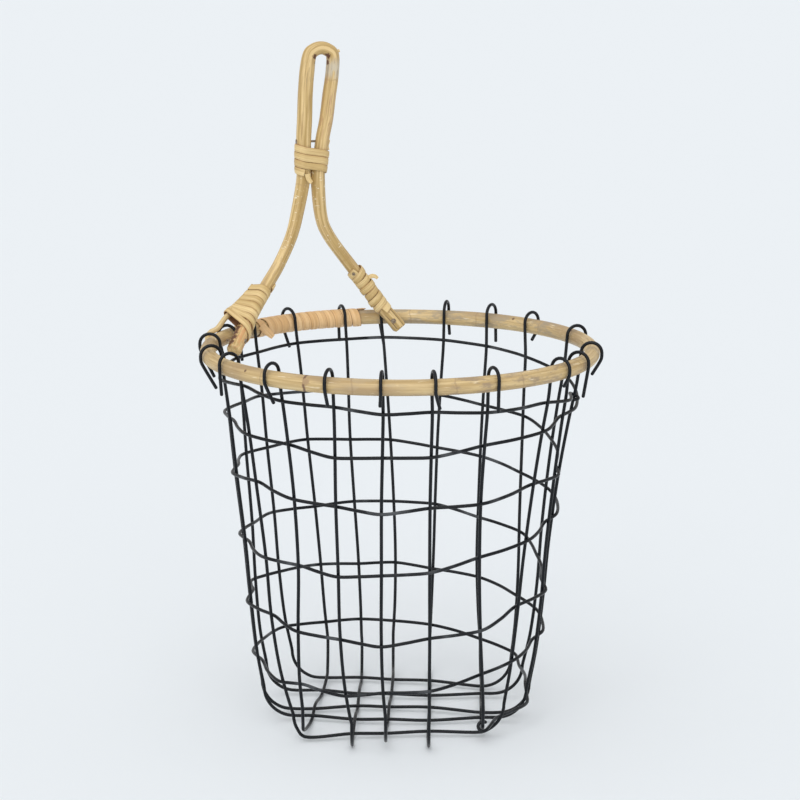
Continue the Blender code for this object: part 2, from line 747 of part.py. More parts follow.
def add_strip(name, sections, width, parts, look):
    """A flat strip through its sections, each a place on its inner face and its outside."""
    work = bmesh.new()
    rings = []
    for number, (place, out) in enumerate(sections):
        before = sections[max(number - 1, 0)][0]
        after = sections[min(number + 1, len(sections) - 1)][0]
        side = out.cross(after - before).normalized()
        run = side.cross(out)
        frame = Matrix((side * width, out * STRIP_THICKNESS, run)).transposed().to_4x4()
        frame.translation = place + out * STRIP_THICKNESS / 2
        end = number in (0, len(sections) - 1)
        made = bmesh.ops.create_circle(
            work, cap_ends=end, segments=4, radius=math.sqrt(0.5), matrix=frame @ Matrix.Rotation(TURN / 8, 4, "Z"),
        )
        rings.append(list({edge for vert in made["verts"] for edge in vert.link_edges}))
    for first, second in zip(rings, rings[1:]):
        bmesh.ops.bridge_loops(work, edges=first + second)
    bmesh.ops.recalc_face_normals(work, faces=work.faces)
    mesh = bpy.data.meshes.new(name)
    work.to_mesh(mesh)
    work.free()
    corners = [vert.co.copy() for vert in mesh.vertices]
    print(f"{name}: least gap to itself {least_gap(corners, STRIP_POINTS_A_TURN * 2):.4f} m")
    return add_object(name, mesh, parts, look)


def waist_sections():
    """Round both poles of the waist."""
    legs = Leg(-1), Leg(1)
    starts = [leg.length_at(WAIST_TOP_SHARE) for leg in legs]

    def section_at(turns):
        down = turns * (STRIP_WIDTH + WAIST_STRIP_GAP)
        poles = [(*leg.at(start + down), HANDLE_POLE_RADIUS) for leg, start in zip(legs, starts)]
        origin = (poles[0][0] + poles[1][0]) / 2
        facing = (poles[0][1] + poles[1][1]).normalized()
        return band_section(poles, origin, facing, turned_look(facing, pair_direction(), turns))

    return wound_sections(section_at, WAIST_TURNS)


def rim_on_plane(origin, facing):
    """The rim's place and direction, towards the front, where a plane through the origin crosses it."""
    place = origin
    for _ in range(4):
        place = rim_place(turn_share_of(place))
        along = UP.cross(outward(place))
        place += along * ((origin - place).dot(facing) / along.dot(facing))
    return place, along


def path_on_plane(points, origin, facing):
    """The place and direction of a run of points where a plane through the origin crosses it."""
    for start, end in zip(points, points[1:]):
        before, after = (start - origin).dot(facing), (end - origin).dot(facing)
        if before <= 0 < after:
            break
    return start + (end - start) * (before / (before - after)), (end - start).normalized()


def left_sections():
    """First round the leg and its stay, then round the leg and the rim."""
    leg, stay = Leg(-1), stay_points()
    start = leg.length_at(LEFT_TOP_SHARE)

    def section_at(turns):
        tilt = min(max(turns - LEFT_LEG_TURNS + 0.5, 0), 1)
        place, along = leg.at(start + turns * STRIP_PITCH + tilt * LEFT_FAN)
        facing = (along + UP.cross(outward(place)) * tilt).normalized()
        poles = [(place, along, HANDLE_POLE_RADIUS)]
        if turns < LEFT_LEG_TURNS:
            poles.append((*path_on_plane(stay, place, facing), STAY_RADIUS))
        else:
            poles.append((*rim_on_plane(place, facing), RIM_POLE_RADIUS))
        return band_section(poles, place, facing, turned_look(facing, UP, -turns - LEFT_START_SHARE))

    return wound_sections(section_at, LEFT_LEG_TURNS + LEFT_RIM_TURNS)


def right_sections():
    """Round the right leg."""
    leg = Leg(1)
    start = leg.length_at(RIGHT_TOP_SHARE)

    def section_at(turns):
        place, along = leg.at(start + turns * STRIP_PITCH)
        poles = [(place, along, HANDLE_POLE_RADIUS)]
        return band_section(poles, place, along, turned_look(along, -outward(place), turns))

    return wound_sections(section_at, RIGHT_TURNS)


def splice_sections():
    """Round the rim over its joint."""
    def section_at(turns):
        place = rim_place(SPLICE_START_SHARE - turns * SPLICE_PITCH / (TURN * RIM_RADIUS))
        along = outward(place).cross(UP)
        poles = [(place, along, RIM_POLE_RADIUS)]
        return band_section(poles, place, along, turned_look(along, -UP, turns))

    return wound_sections(section_at, SPLICE_TURNS)


# Nails


def add_nail(name, seat, direction, size, parts):
    """A turned nail with its head's underside at the seat."""
    diameter, head_diameter, head_thickness, length = size
    profile = (
        (0, head_thickness), (head_diameter / 2, head_thickness), (head_diameter / 2, 0), (diameter / 2, 0),
        (diameter / 2, 2 * diameter - length), (0, -length),
    )
    mesh = bpy.data.meshes.new(name)
    mesh.from_pydata([(x, 0, z) for x, z in profile], [(k, k + 1) for k in range(len(profile) - 1)], [])
    obj = add_object(name, mesh, parts, BARE_STEEL)
    obj.location = seat
    obj.rotation_mode = "QUATERNION"
    obj.rotation_quaternion = direction.to_track_quat("-Z", "Y")
    turned = obj.modifiers.new("turned", "SCREW")
    turned.steps = turned.render_steps = 10
    turned.use_merge_vertices = True
    turned.merge_threshold = diameter / 20
    return obj


def add_waist_nail(handle, parts, cutters):
    """Across both poles just above the lashing."""
    left, right = (leg.at(leg.length_at(WAIST_NAIL_SHARE))[0] for leg in (Leg(-1), Leg(1)))
    direction = (right - left).normalized()
    seat = left - direction * (HANDLE_POLE_RADIUS + TOUCH_GAP)
    length = (right - seat).length + NAIL_DIAMETER
    add_nail("waist_nail", seat, direction, (NAIL_DIAMETER, NAIL_HEAD_DIAMETER, NAIL_HEAD_THICKNESS, length), parts)
    start = left - direction * (HANDLE_POLE_RADIUS + OVERRUN)
    end = seat + direction * (length + TOUCH_GAP)
    cut(handle, add_hole_cutter("waist_nail_hole", start, end, NAIL_DIAMETER / 2 + TOUCH_GAP, cutters))


def add_leg_nail(name, side, handle, rim, parts, cutters):
    """Out through the leg and into the rim behind it."""
    leg = Leg(side)
    place = leg.at(leg.length_at(LEG_NAIL_SHARE))[0]
    direction = outward(place)
    seat = place - direction * (HANDLE_POLE_RADIUS + TOUCH_GAP)
    length = RIM_RADIUS - RIM_POLE_RADIUS + NAIL_GRIP - seat.xy.length
    add_nail(name, seat, direction, (NAIL_DIAMETER, NAIL_HEAD_DIAMETER, NAIL_HEAD_THICKNESS, length), parts)
    start = place - direction * (HANDLE_POLE_RADIUS + OVERRUN)
    end = seat + direction * (length + TOUCH_GAP)
    cutter = add_hole_cutter(f"{name}_hole", start, end, NAIL_DIAMETER / 2 + TOUCH_GAP, cutters)
    cut(handle, cutter)
    cut(rim, cutter)


def add_tack(name, section, strip, pole, parts, cutters):
    """Down through a strip near its end, into the pole under it."""
    place, out = section
    seat = place + out * (STRIP_THICKNESS + TOUCH_GAP)
    length = STRIP_REACH + TOUCH_GAP + TACK_GRIP
    add_nail(name, seat, -out, (TACK_DIAMETER, TACK_HEAD_DIAMETER, TACK_HEAD_THICKNESS, length), parts)
    end = seat - out * (length + TOUCH_GAP)
    cutter = add_hole_cutter(f"{name}_hole", seat + out * OVERRUN, end, TACK_DIAMETER / 2 + TOUCH_GAP, cutters)
    cut(strip, cutter)
    cut(pole, cutter)


def build():
    parts, cutters = start_collections()
    plan = wire_plan()
    add_bent_wires(plan, parts, cutters)
    add_weaver(plan, parts)
    rim = add_rim(parts)
    handle = add_handle(parts)
    add_stay(parts)
    add_strip("waist_lashing", waist_sections(), STRIP_WIDTH, parts, RATTAN_STRIP)
    left, right = left_sections(), right_sections()
    left_strip = add_strip("left_leg_lashing", left, STRIP_WIDTH, parts, RATTAN_STRIP)
    right_strip = add_strip("right_leg_lashing", right, STRIP_WIDTH, parts, RATTAN_STRIP)
    add_strip("splice_binding", splice_sections(), SPLICE_STRIP_WIDTH, parts, SPLICE_STRIP)
    add_waist_nail(handle, parts, cutters)
    add_leg_nail("left_leg_nail", -1, handle, rim, parts, cutters)
    add_leg_nail("right_leg_nail", 1, handle, rim, parts, cutters)
    add_tack("left_lashing_tack", left[-2], left_strip, rim, parts, cutters)
    add_tack("right_lashing_tack", right[1], right_strip, handle, parts, cutters)


build()
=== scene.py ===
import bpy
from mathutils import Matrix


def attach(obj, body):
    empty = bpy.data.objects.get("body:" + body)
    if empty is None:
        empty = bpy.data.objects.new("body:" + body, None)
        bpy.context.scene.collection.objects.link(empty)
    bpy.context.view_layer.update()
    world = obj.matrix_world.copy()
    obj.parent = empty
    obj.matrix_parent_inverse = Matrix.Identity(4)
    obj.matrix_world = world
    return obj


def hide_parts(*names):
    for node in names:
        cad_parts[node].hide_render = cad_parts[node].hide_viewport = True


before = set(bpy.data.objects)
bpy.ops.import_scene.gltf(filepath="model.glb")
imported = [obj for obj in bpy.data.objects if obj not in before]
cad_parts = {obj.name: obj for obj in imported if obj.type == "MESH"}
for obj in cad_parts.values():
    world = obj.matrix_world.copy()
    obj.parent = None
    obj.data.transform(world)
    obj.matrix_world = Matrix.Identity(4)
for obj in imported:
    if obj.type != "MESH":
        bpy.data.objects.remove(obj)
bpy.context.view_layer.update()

import math

import bmesh
import bpy
import numpy as np
from mathutils import Matrix, Vector

# The basket's sizes, in metres. A turn share is a place round the basket from the front towards +X.
RIM_RADIUS = 0.125
RIM_HEIGHT = 0.2487
HANDLE_RISE = 0.1890
WALL_FOOT_RADIUS = 0.088
BASE_REACH = 0.060
BASE_BEND_RADIUS = 0.020
CAGE_SHIFT_LEFT = 0.00275
CAGE_SHIFT_BACK = 0.0030
WIRE_DIAMETER = 0.0022
RIM_POLE_RADIUS = 0.0052
HANDLE_POLE_RADIUS = 0.0043
STAY_RADIUS = 0.0018
TOUCH_GAP = 0.0003
HOOK_SIDE_GAP = 0.0004
STRIP_GAP = 0.0010
STRIP_THICKNESS = 0.0009
RIM_LIFT = 0.0030
RIM_JOINT_GAP = 0.0005
LEAST_REACH = 0.0050
CROSS_WIRE_WAVE_SHARE = 0.3
CORNER_LIFT_SHARES = (1, 1.4)
FRONT_LEFT_LIFT_SHARES = (0.15, 0.45)
HOOK_TAIL_DROP = 0.018
HOOK_TAIL_SWING = 0.004
HOOK_NECK = 0.0075
HOOK_STEPS = 12
EYE_RADIUS = 0.0030
EYE_SHARE = 0.8
EYE_STEPS = 12
WIRE_POINT_SPACING = 0.0022

# A wire's worn end: how far back from the cut, and how wide the wire is there as a share
WIRE_END = ((0.0001, 0.62), (0.0004, 0.88), (0.0008, 1.0))

# The wall's flare between its foot and the rim: (share of the height, of the flare, of the shift)
WALL_SHARES = (
    (0.00, -0.13, 1.00), (0.05, 0.00, 1.00), (0.10, 0.10, 1.00), (0.19, 0.20, 1.00), (0.335, 0.33, 0.91),
    (0.495, 0.445, 0.84), (0.685, 0.635, 0.68), (0.835, 0.80, 0.26), (0.925, 0.92, 0.00), (1.00, 1.00, 0.00),
)
LOW_SHARE = 0.25
MIDDLE_SHARE = 0.60
BEND_RISES = (0.03, 0.10, 0.21, 0.35, 0.52, 0.70, 0.86, 1.00)

# A wire is two uprights, and its places across the base near, halfway and far, as shares of the base's reach.
# An upright is its hook's turn share, the tail's lean, shares of its drop and swing and the hook's lift,
# its turn shares low and halfway up the wall, and how far its foot stands out, as a share of the wall's foot.
FRONT_BACK_WIRES = (
    ((-0.108, 0.050, 0.83, 0.94, 1.0, -0.1125, -0.1006, 0.00),
     (-0.394, 0.041, 1.01, -0.80, 0.75, -0.4097, -0.4017, 0.00), (-1.05, -0.95, -0.85)),
    ((-0.056, 0.055, 0.72, 0.12, 1.0, -0.0589, -0.0578, 0.00),
     (-0.447, 0.045, 0.95, 0.20, 0.3, -0.4569, -0.4500, 0.00), (-0.52, -0.48, -0.45)),
    ((-0.014, 0.060, 0.64, -0.20, 1.0, -0.0153, -0.0142, 0.00),
     (-0.482, 0.036, 1.15, -0.75, 1.0, -0.5000, -0.4950, 0.00), (-0.16, -0.12, -0.08)),
    ((0.026, 0.055, 0.75, 0.88, 1.0, 0.0356, 0.0317, 0.00),
     (0.458, 0.055, 0.71, -0.44, 1.6, 0.4569, 0.4569, 0.00), (0.30, 0.33, 0.35)),
    ((0.075, 0.041, 1.01, 0.56, 1.0, 0.0947, 0.0822, 0.00),
     (0.415, 0.038, 0.86, -0.50, 1.6, 0.4011, 0.4064, 0.00), (0.89, 0.91, 0.95)),
)
CROSS_WIRES = (
    ((-0.163, 0.019, 0.96, -0.40, 1.0, -0.1525, -0.1542, 0.00),
     (0.147, 0.085, 0.53, 0.00, 0.6, 0.1494, 0.1494, -0.04), (-0.95, -0.81, -0.80)),
    ((-0.208, 0.080, 1.08, 0.50, 0.6, -0.2139, -0.2111, 0.00),
     (0.178, 0.030, 1.15, 0.25, 0.6, 0.2139, 0.2014, 0.00), (-0.28, -0.41, -0.33)),
    ((-0.262, 0.072, 1.15, -0.25, 0.6, -0.2528, -0.2472, 0.00),
     (0.222, 0.085, 0.71, 0.00, 0.6, 0.2333, 0.2167, 0.00), (-0.03, 0.03, -0.18)),
    ((-0.311, 0.045, 0.90, 0.10, 0.3, -0.2970, -0.3011, 0.06),
     (0.303, 0.050, 0.90, -0.20, 0.6, 0.2850, 0.2944, 0.00), (0.60, 0.44, 0.47)),
    ((-0.343, 0.018, 1.20, 0.00, 1.0, -0.3500, -0.3450, 0.05),
     (0.371, 0.075, 0.60, 0.50, 1.0, 0.3328, 0.3478, 0.00), (1.03, 0.98, 0.73)),
)

# The weaver's heights, eight to a turn from the top, as shares of the rim's height, and then its end
WEAVER_START = 0.222
WEAVER_HEIGHTS = (
    (0.897, 0.922, 0.930, 0.950, 0.940, 0.948, 0.945, 0.918),
    (0.864, 0.832, 0.804, 0.829, 0.832, 0.812, 0.790, 0.750),
    (0.704, 0.684, 0.664, 0.697, 0.685, 0.675, 0.645, 0.600),
    (0.574, 0.534, 0.489, 0.502, 0.500, 0.487, 0.482, 0.430),
    (0.389, 0.342, 0.307, 0.335, 0.340, 0.315, 0.298, 0.265),
    (0.241, 0.208, 0.169, 0.165, 0.173, 0.153, 0.133, 0.100),
)
WEAVER_END = ((6.00, 0.088), (6.035, 0.068), (6.075, 0.044), (6.20, 0.044))
WEAVER_CROSSINGS = 124

# The handle's legs from the waist to the foot: turn shares and shares of the rise. The peg beside the left
# leg: these and how far it lies from the handle to the rim, and then turn shares and shares of a turn round
# the rim.
LEFT_LEG = (
    (-0.3985, 0.585), (-0.3983, 0.530), (-0.3920, 0.425), (-0.3840, 0.332), (-0.3680, 0.237),
    (-0.3510, 0.171), (-0.3310, 0.106), (-0.3120, 0.046), (-0.2880, -0.012), (-0.2790, -0.026),
)
RIGHT_LEG = (
    (-0.4132, 0.585), (-0.4120, 0.530), (-0.4162, 0.398), (-0.4256, 0.320), (-0.4480, 0.212),
    (-0.4640, 0.136), (-0.4800, 0.056), (-0.4920, 0.006), (-0.5000, -0.031),
)
STAY = (
    (-0.3570, 0.198, 0.51), (-0.3500, 0.178, 0.51), (-0.3417, 0.155, 0.52),
    (-0.3297, 0.121, 0.66), (-0.3150, 0.090, 0.83), (-0.3040, 0.068, 0.95),
)
STAY_ROUND_RIM = ((-0.2955, 0.21), (-0.2920, 0.12), (-0.2905, 0.03), (-0.2895, -0.08), (-0.2885, -0.15))
WAIST_TURN = -0.4089
LOOP_TURN = -0.4205
LOOP_TWIST = 0.042
LOOP_OPENING = 0.0095
WAIST_GAP = 0.0026

# The loop's sides: shares of the rise, the lean and its opening. Its round top: shares of half a turn.
LOOP = ((0.675, 0.19, 0.30), (0.745, 0.43, 0.59), (0.830, 0.62, 0.82), (0.910, 0.85, 0.97))
LOOP_TOP = (0.86, 0.68, 0.50, 0.32, 0.14)

# What the handle's pole is thicker by, at lengths from the loop's top, left side below nought
POLE_THICKER = (
    (-0.235, 0.0008), (-0.215, 0.0006), (-0.195, 0.0002), (-0.150, 0.0), (-0.120, 0.0002), (-0.095, 0.0006),
    (-0.075, 0.0009), (-0.020, 0.0009), (0.0, 0.0002), (0.020, 0.0005), (0.060, 0.0005), (0.075, 0.0006),
    (0.095, 0.0006), (0.120, 0.0002), (0.150, 0.0), (0.190, 0.0002), (0.205, 0.0006), (0.220, 0.0007),
)

# The poles are drawn a little thinner than the solids, and sway. The handle's cut ends are worn.
RIM_STEPS = 300
RIM_THINNED = 0.00012
RIM_SWAY = 0.00014
HANDLE_THINNED = 0.00010
HANDLE_SWAY = 0.00012
END_WEAR_LENGTH = 0.0018
END_WEAR = 0.0011
END_WEAR_SWAY = 0.0006

# The cut twig on the loop's right shoulder: its length from the loop's top, its lift, and its own sizes
TWIG_PLACE = 0.0090
TWIG_LIFT_SHARE = 0.35
TWIG_RADIUS = 0.0011
TWIG_SUNK = 0.0012
TWIG_STEP = 0.0006

# A strip's section: points round it, how square it is, where its edge lies, its dome and its inner face
STRIP_SIDES = 14
STRIP_SQUARE_SHARE = 0.62
STRIP_EDGE_SHARE = 0.40
STRIP_DOME_SHARE = 0.8
STRIP_INNER_SHARE = 0.35
STRIP_STEPS = 40
SLOW_WAVE_SHARE = 0.07
QUICK_WAVE_SHARE = 0.04
QUICK_WAVES = 17

# Wrappings: how wide a strip is drawn, its turns, where it starts and how far a turn goes along its pole.
# The peg is drawn shorter at its top, under the left strip.
LASHING_WIDTH = 0.0049
WAIST_TURNS = 3.23
WAIST_TOP = 0.639
WAIST_PITCH = 0.0050
WAIST_TILT = -0.07
PEG_TOP_CUT = 0.0080
LEFT_START = 0.25
LEFT_TURNS = 7.3
LEFT_TOP = 0.165

# After so many turns, how far the left strip has gone down the leg and down the peg, and how thickly it laps
LEFT_LEG_PITCHES = ((0, -0.0005), (1, 0.0068), (5, 0.0265), (6, 0.0325), (7.3, 0.0420))
LEFT_PEG_PITCHES = ((0, 0.0092), (1, 0.0162), (5, 0.0360), (6, 0.0400), (7.3, 0.0430))
LEFT_OVERLAP = ((5.0, 0.0), (6.0, 0.0006), (7.3, 0.0010))

# The right strip wanders off square and laps over itself
RIGHT_WIDTH = 0.0050
RIGHT_TURNS = 7
RIGHT_TOP = 0.190
RIGHT_PITCH = 0.0051
RIGHT_WANDER = (0.10, 0.16)
RIGHT_LAP = 0.0003

# The rim's joint and its binding: the solid's start, turns and pitch, the drawn turns and how far past the
# start each lies, and the two gaps between turns, where the rim beneath is painted dark as shade
RIM_JOINT = -0.412
SPLICE_WIDTH = 0.0062
SPLICE_START = -0.362
SPLICE_TURNS = 12.5
SPLICE_PITCH = 0.0065
SPLICE_RUN = ((0, -0.0085), (0.9, -0.0022), (1.0, -0.0010), (1.4, 0.0030), (12.4, 0.0735), (13.5, 0.0813))
SPLICE_GAPS = (-0.0030, 0.0775)

# The strips' loose ends: the root, as a length down the pole or a place on the rim, how far off it the end
# starts, its steps on from there, and its width
TAIL_THICKNESS = 0.0006
TAIL_TAPER_SHARE = 0.35
TAIL_FACING = Vector((0.15, -1, 0.25))
LEFT_TAIL = (
    (-0.3560, 0.42), (0, -0.0018, 0),
    ((0.0030, -0.0006, -0.0026), (0.0030, 0.0002, -0.0030), (0.0020, 0.0004, -0.0020)), 0.0052,
)
RIGHT_TAIL = (
    0.1745, (0.0058, -0.0010, 0.0008),
    ((0.0022, 0, 0.0009), (0.0022, 0, -0.0003), (0.0018, 0, -0.0014)), 0.0030,
)
WAIST_UP_TAIL = (
    0.0735, (0.0039, 0.0005, -0.0016),
    ((-0.0004, 0, 0.0030), (0.0009, 0, 0.0026), (0.0006, 0, 0.0018)), 0.0034,
)
WAIST_DOWN_TAIL = (
    0.0925, (0.0030, -0.0057, 0.0030),
    ((0.0004, 0, -0.0024), (0.0010, 0, -0.0022), (0.0015, -0.0002, -0.0015)), 0.0036,
)

# Studio lights: name, strength, spread, tilt towards the front and to the right, in degrees
WORLD_STRENGTH = 0.65
SOFT_LIGHTS = (
    ("soft_top_light", 0.55, 60, 12, -14),
    ("soft_front_light", 1.15, 70, 58, -10),
)
FLOOR_COLOUR = (0.831, 0.871, 0.905)
FLOOR_REACH = 20

# The photograph's camera: its lens and sensor in millimetres, its place, and its tilt in degrees
CAMERA_LENS = 105.3
CAMERA_SENSOR = 36
CAMERA_PLACE = (0, -1.5, 0.531)
CAMERA_TILT = 78.1

# Lacquer and steel
LACQUER = (0.0030, 0.0042, 0.0065)
LACQUER_PATCH = (0.0060, 0.0080, 0.0110)
LACQUER_RUBBED = (0.085, 0.092, 0.100)
LACQUER_SPECK = (0.040, 0.044, 0.050)
NAIL_STEEL = (0.34, 0.28, 0.20)
NAIL_RUST = (0.16, 0.10, 0.06)

# Rattan: the pale, the deep and the fibres' colour of each piece, and then its marks
RIM_WOOD = ((0.72, 0.545, 0.28), (0.50, 0.345, 0.15), (0.33, 0.20, 0.08))
RIM_CLOUD = (0.38, 0.26, 0.14)
# Pale patches painted along the rim as highlights
RIM_PAINTED_HIGHLIGHT = (0.92, 0.80, 0.56)
RIM_RING = (0.30, 0.19, 0.11)
# Painted shade on the rim in the binding's gaps
BINDING_GAP_PAINTED_SHADE = (0.12, 0.055, 0.03)
RIM_SPOT = (0.11, 0.055, 0.035)
KNOT_RING = (0.13, 0.06, 0.04)
KNOT_FACE = (0.42, 0.28, 0.15)
HANDLE_WOOD = ((0.78, 0.575, 0.28), (0.46, 0.305, 0.105), (0.30, 0.17, 0.055))
HANDLE_CLOUD = (0.38, 0.235, 0.09)
HANDLE_RING = (0.40, 0.25, 0.11)
HANDLE_CRACK = (0.14, 0.08, 0.04)
HANDLE_BARK = (0.13, 0.055, 0.025)
PEG_WOOD = ((0.72, 0.56, 0.30), (0.58, 0.41, 0.18), (0.42, 0.26, 0.10))
PEG_EDGE = (0.38, 0.22, 0.10)
# A strip's edge colour goes into its cloudy mottle, and along a flat strip's edges as painted shade where
# turns meet
CREAM_STRIP = ((0.80, 0.605, 0.30), (0.56, 0.39, 0.155), (0.40, 0.24, 0.085))
CREAM_MOTTLE_AND_EDGE_SHADE = (0.33, 0.14, 0.055)
TAN_STRIP = ((0.86, 0.59, 0.31), (0.70, 0.43, 0.19), (0.54, 0.29, 0.115))
TAN_MOTTLE_AND_EDGE_SHADE = (0.30, 0.12, 0.05)
# The strips' inner face, painted brown as shade
STRIP_INNER_PAINTED_SHADE = (0.33, 0.17, 0.09)

# Marks on the rim. Stains: from and to a turn share, colour, strength. Growth rings: turn shares. Spots: a
# turn share, a share of a turn round the pole, and their reach. The knot: the same, with one ring beside it.
RIM_STAINS = (
    (-0.060, 0.030, (0.47, 0.36, 0.22), 0.55),
    (0.030, 0.180, (0.33, 0.24, 0.16), 0.80),
    (0.200, 0.330, (0.62, 0.46, 0.26), 0.60),
    (0.330, 0.540, (0.36, 0.29, 0.20), 0.80),
    (-0.300, -0.200, (0.56, 0.40, 0.22), 0.60),
)
RIM_RINGS = (-0.1155, -0.0370, 0.0420, 0.0975, 0.1675, 0.2660, 0.3560, 0.4270, 0.4900)
RIM_SPOTS = ((0.3890, 0.36, 0.0014), (0.3080, 0.33, 0.0016), (-0.3200, 0.20, 0.0020), (-0.1320, 0.10, 0.0012))
RIM_KNOT = (-0.0725, 0.07)
KNOT_REACH = 0.0030
KNOT_RING_BACK = 0.0022
KNOT_RING_WIDTH = 0.0013
# How wide the painted shade is in the binding's gaps
SPLICE_GAP_WIDTH = 0.0034
RIM_STAIN_EDGE = 0.010
RING_WIDTH = 0.0008

# Marks on the handle, by lengths from the loop's top, right side above nought. Stains: from and to a length,
# colour, how rare, strength. Growth rings, and the stretch with splits: lengths.
HANDLE_STAINS = (
    (0.014, 0.025, (0.60, 0.56, 0.46), 0.36, 0.70),
    (0.013, 0.027, (0.26, 0.18, 0.13), 0.56, 0.55),
    (0.026, 0.060, (0.50, 0.29, 0.18), 0.52, 0.65),
    (-0.030, -0.010, (0.42, 0.30, 0.15), 0.54, 0.60),
    (0.050, 0.078, (0.52, 0.33, 0.15), 0.52, 0.60),
    (0.086, 0.150, (0.97, 0.88, 0.66), 0.62, 0.85),
    (-0.160, -0.086, (0.97, 0.88, 0.66), 0.63, 0.75),
    (-0.185, -0.140, (0.50, 0.35, 0.18), 0.50, 0.60),
    (-0.236, -0.200, (0.66, 0.33, 0.14), 0.50, 0.75),
)
HANDLE_RINGS = (-0.0980, 0.0270, 0.1560)
HANDLE_SPLIT = (0.198, 0.230)
RING_SWAY = 0.004
STAIN_EDGE = 0.004

# Cracks inside the loop's bends: a length, how far inward and forward in pole radii, and their reach.
# The bark left on the left foot: lengths and reaches, and the way it faces.
LOOP_CRACKS = ((0.0105, 0.8, 0.7, 0.0026), (0.0150, 0.9, 0.4, 0.0020))
FOOT_BARK = ((0.2120, 0.0022), (0.2165, 0.0029), (0.2210, 0.0031), (0.2260, 0.0035), (0.2315, 0.0040))
FOOT_BARK_SIDE = Vector((-0.62, -0.28, 0.73))

TURN = 2 * math.pi
UP = Vector((0, 0, 1))
FRONT = Vector((0, -1, 0))
WIRE_RADIUS = WIRE_DIAMETER / 2
CROSSING_STEP = WIRE_DIAMETER + TOUCH_GAP
FRONT_BACK_WAVE = CROSSING_STEP * (1 - CROSS_WIRE_WAVE_SHARE / 2)
CROSS_WIRE_WAVE = CROSSING_STEP * CROSS_WIRE_WAVE_SHARE / 2
BASE_LEVEL = FRONT_BACK_WAVE + WIRE_RADIUS
HOOK_RADIUS = RIM_POLE_RADIUS + HOOK_SIDE_GAP + WIRE_RADIUS
STRIP_REACH = TOUCH_GAP + STRIP_THICKNESS
HANDLE_OUTSIDE = RIM_RADIUS - RIM_POLE_RADIUS - STRIP_REACH - WIRE_DIAMETER - HOOK_SIDE_GAP
HANDLE_RADIUS = HANDLE_OUTSIDE - HANDLE_POLE_RADIUS
SPLICE_END = SPLICE_START - SPLICE_TURNS * SPLICE_PITCH / (TURN * RIM_RADIUS)


# Places and paths


def round_place(turn_share, radius, height):
    angle = turn_share * TURN
    return Vector((radius * math.sin(angle), -radius * math.cos(angle), height))


def outward(place):
    return Vector((place.x, place.y, 0)).normalized()


def turn_share_of(place):
    return math.atan2(place.x, -place.y) / TURN


def square_to(along, vector):
    """The direction square to another, as near the vector as can be."""
    return (vector - along * vector.dot(along)).normalized()


def run_past(points, number):
    """From the point before this one to the point after it."""
    return points[min(number + 1, len(points) - 1)] - points[max(number - 1, 0)]


def between(table, x):
    xs, values = zip(*table)
    return float(np.interp(x, xs, values))


def drawn_line(places, spacing):
    """Points about this far apart on a smooth line through the places, however unevenly they lie."""
    spots = np.array(places)
    gaps = np.sqrt(np.linalg.norm(np.diff(spots, axis=0), axis=1))
    slopes = np.diff(spots, axis=0) / gaps[:, None]
    inner = (slopes[:-1] * gaps[1:, None] + slopes[1:] * gaps[:-1, None]) / (gaps[1:] + gaps[:-1])[:, None]
    slopes = np.vstack([slopes[:1], inner, slopes[-1:]])
    points = []
    for number, gap in enumerate(gaps):
        steps = max(1, round(gap**2 / spacing))
        start, end = spots[number], spots[number + 1]
        for t in np.arange(steps) / steps:
            point = start * (1 + 2 * t) * (1 - t)**2 + end * t * t * (3 - 2 * t)
            point += (slopes[number] * t * (1 - t)**2 - slopes[number + 1] * t * t * (1 - t)) * gap
            points.append(Vector(point))
    return [*points, Vector(spots[-1])]


def smooth_path(places, steps):
    ends = [2 * places[0] - places[1], *places, 2 * places[-1] - places[-2]]
    points = []
    for before, start, end, after in zip(ends, ends[1:], ends[2:], ends[3:]):
        for step in range(steps):
            t = step / steps
            bend = (end - before) * t + (2 * before - 5 * start + 4 * end - after) * t**2
            bend += (3 * start - before - 3 * end + after) * t**3
            points.append(start + bend / 2)
    return points + [places[-1]]


# The wire cage


def across(shares, along):
    near, middle, far = (share * BASE_REACH for share in shares)
    t = along / BASE_REACH
    return middle + (far - near) / 2 * t + ((near + far) / 2 - middle) * t**2


def base_crossing(front_back_wire, cross_wire):
    x = y = 0
    for _ in range(8):
        x = across(front_back_wire[2], y)
        y = across(cross_wire[2], x)
    return Vector((x, y, 0))


def wall_centre(height):
    share = between([(rise, shift) for rise, _, shift in WALL_SHARES], height / RIM_HEIGHT)
    return Vector((-CAGE_SHIFT_LEFT, CAGE_SHIFT_BACK, 0)) * share


def wall_reach(place, direction, radius):
    """How far the wall is from a place in the base."""
    inside = place.dot(direction)
    off_line = (place.xy - direction.xy * inside).length
    return max(math.sqrt(max(radius**2 - off_line**2, 0)) - inside, LEAST_REACH)


def bend_lift(reach):
    """How high the bend up to the wall is at this distance before the wall."""
    gone = max(BASE_BEND_RADIUS - reach, 0)
    return BASE_BEND_RADIUS - math.sqrt(BASE_BEND_RADIUS**2 - gone**2)


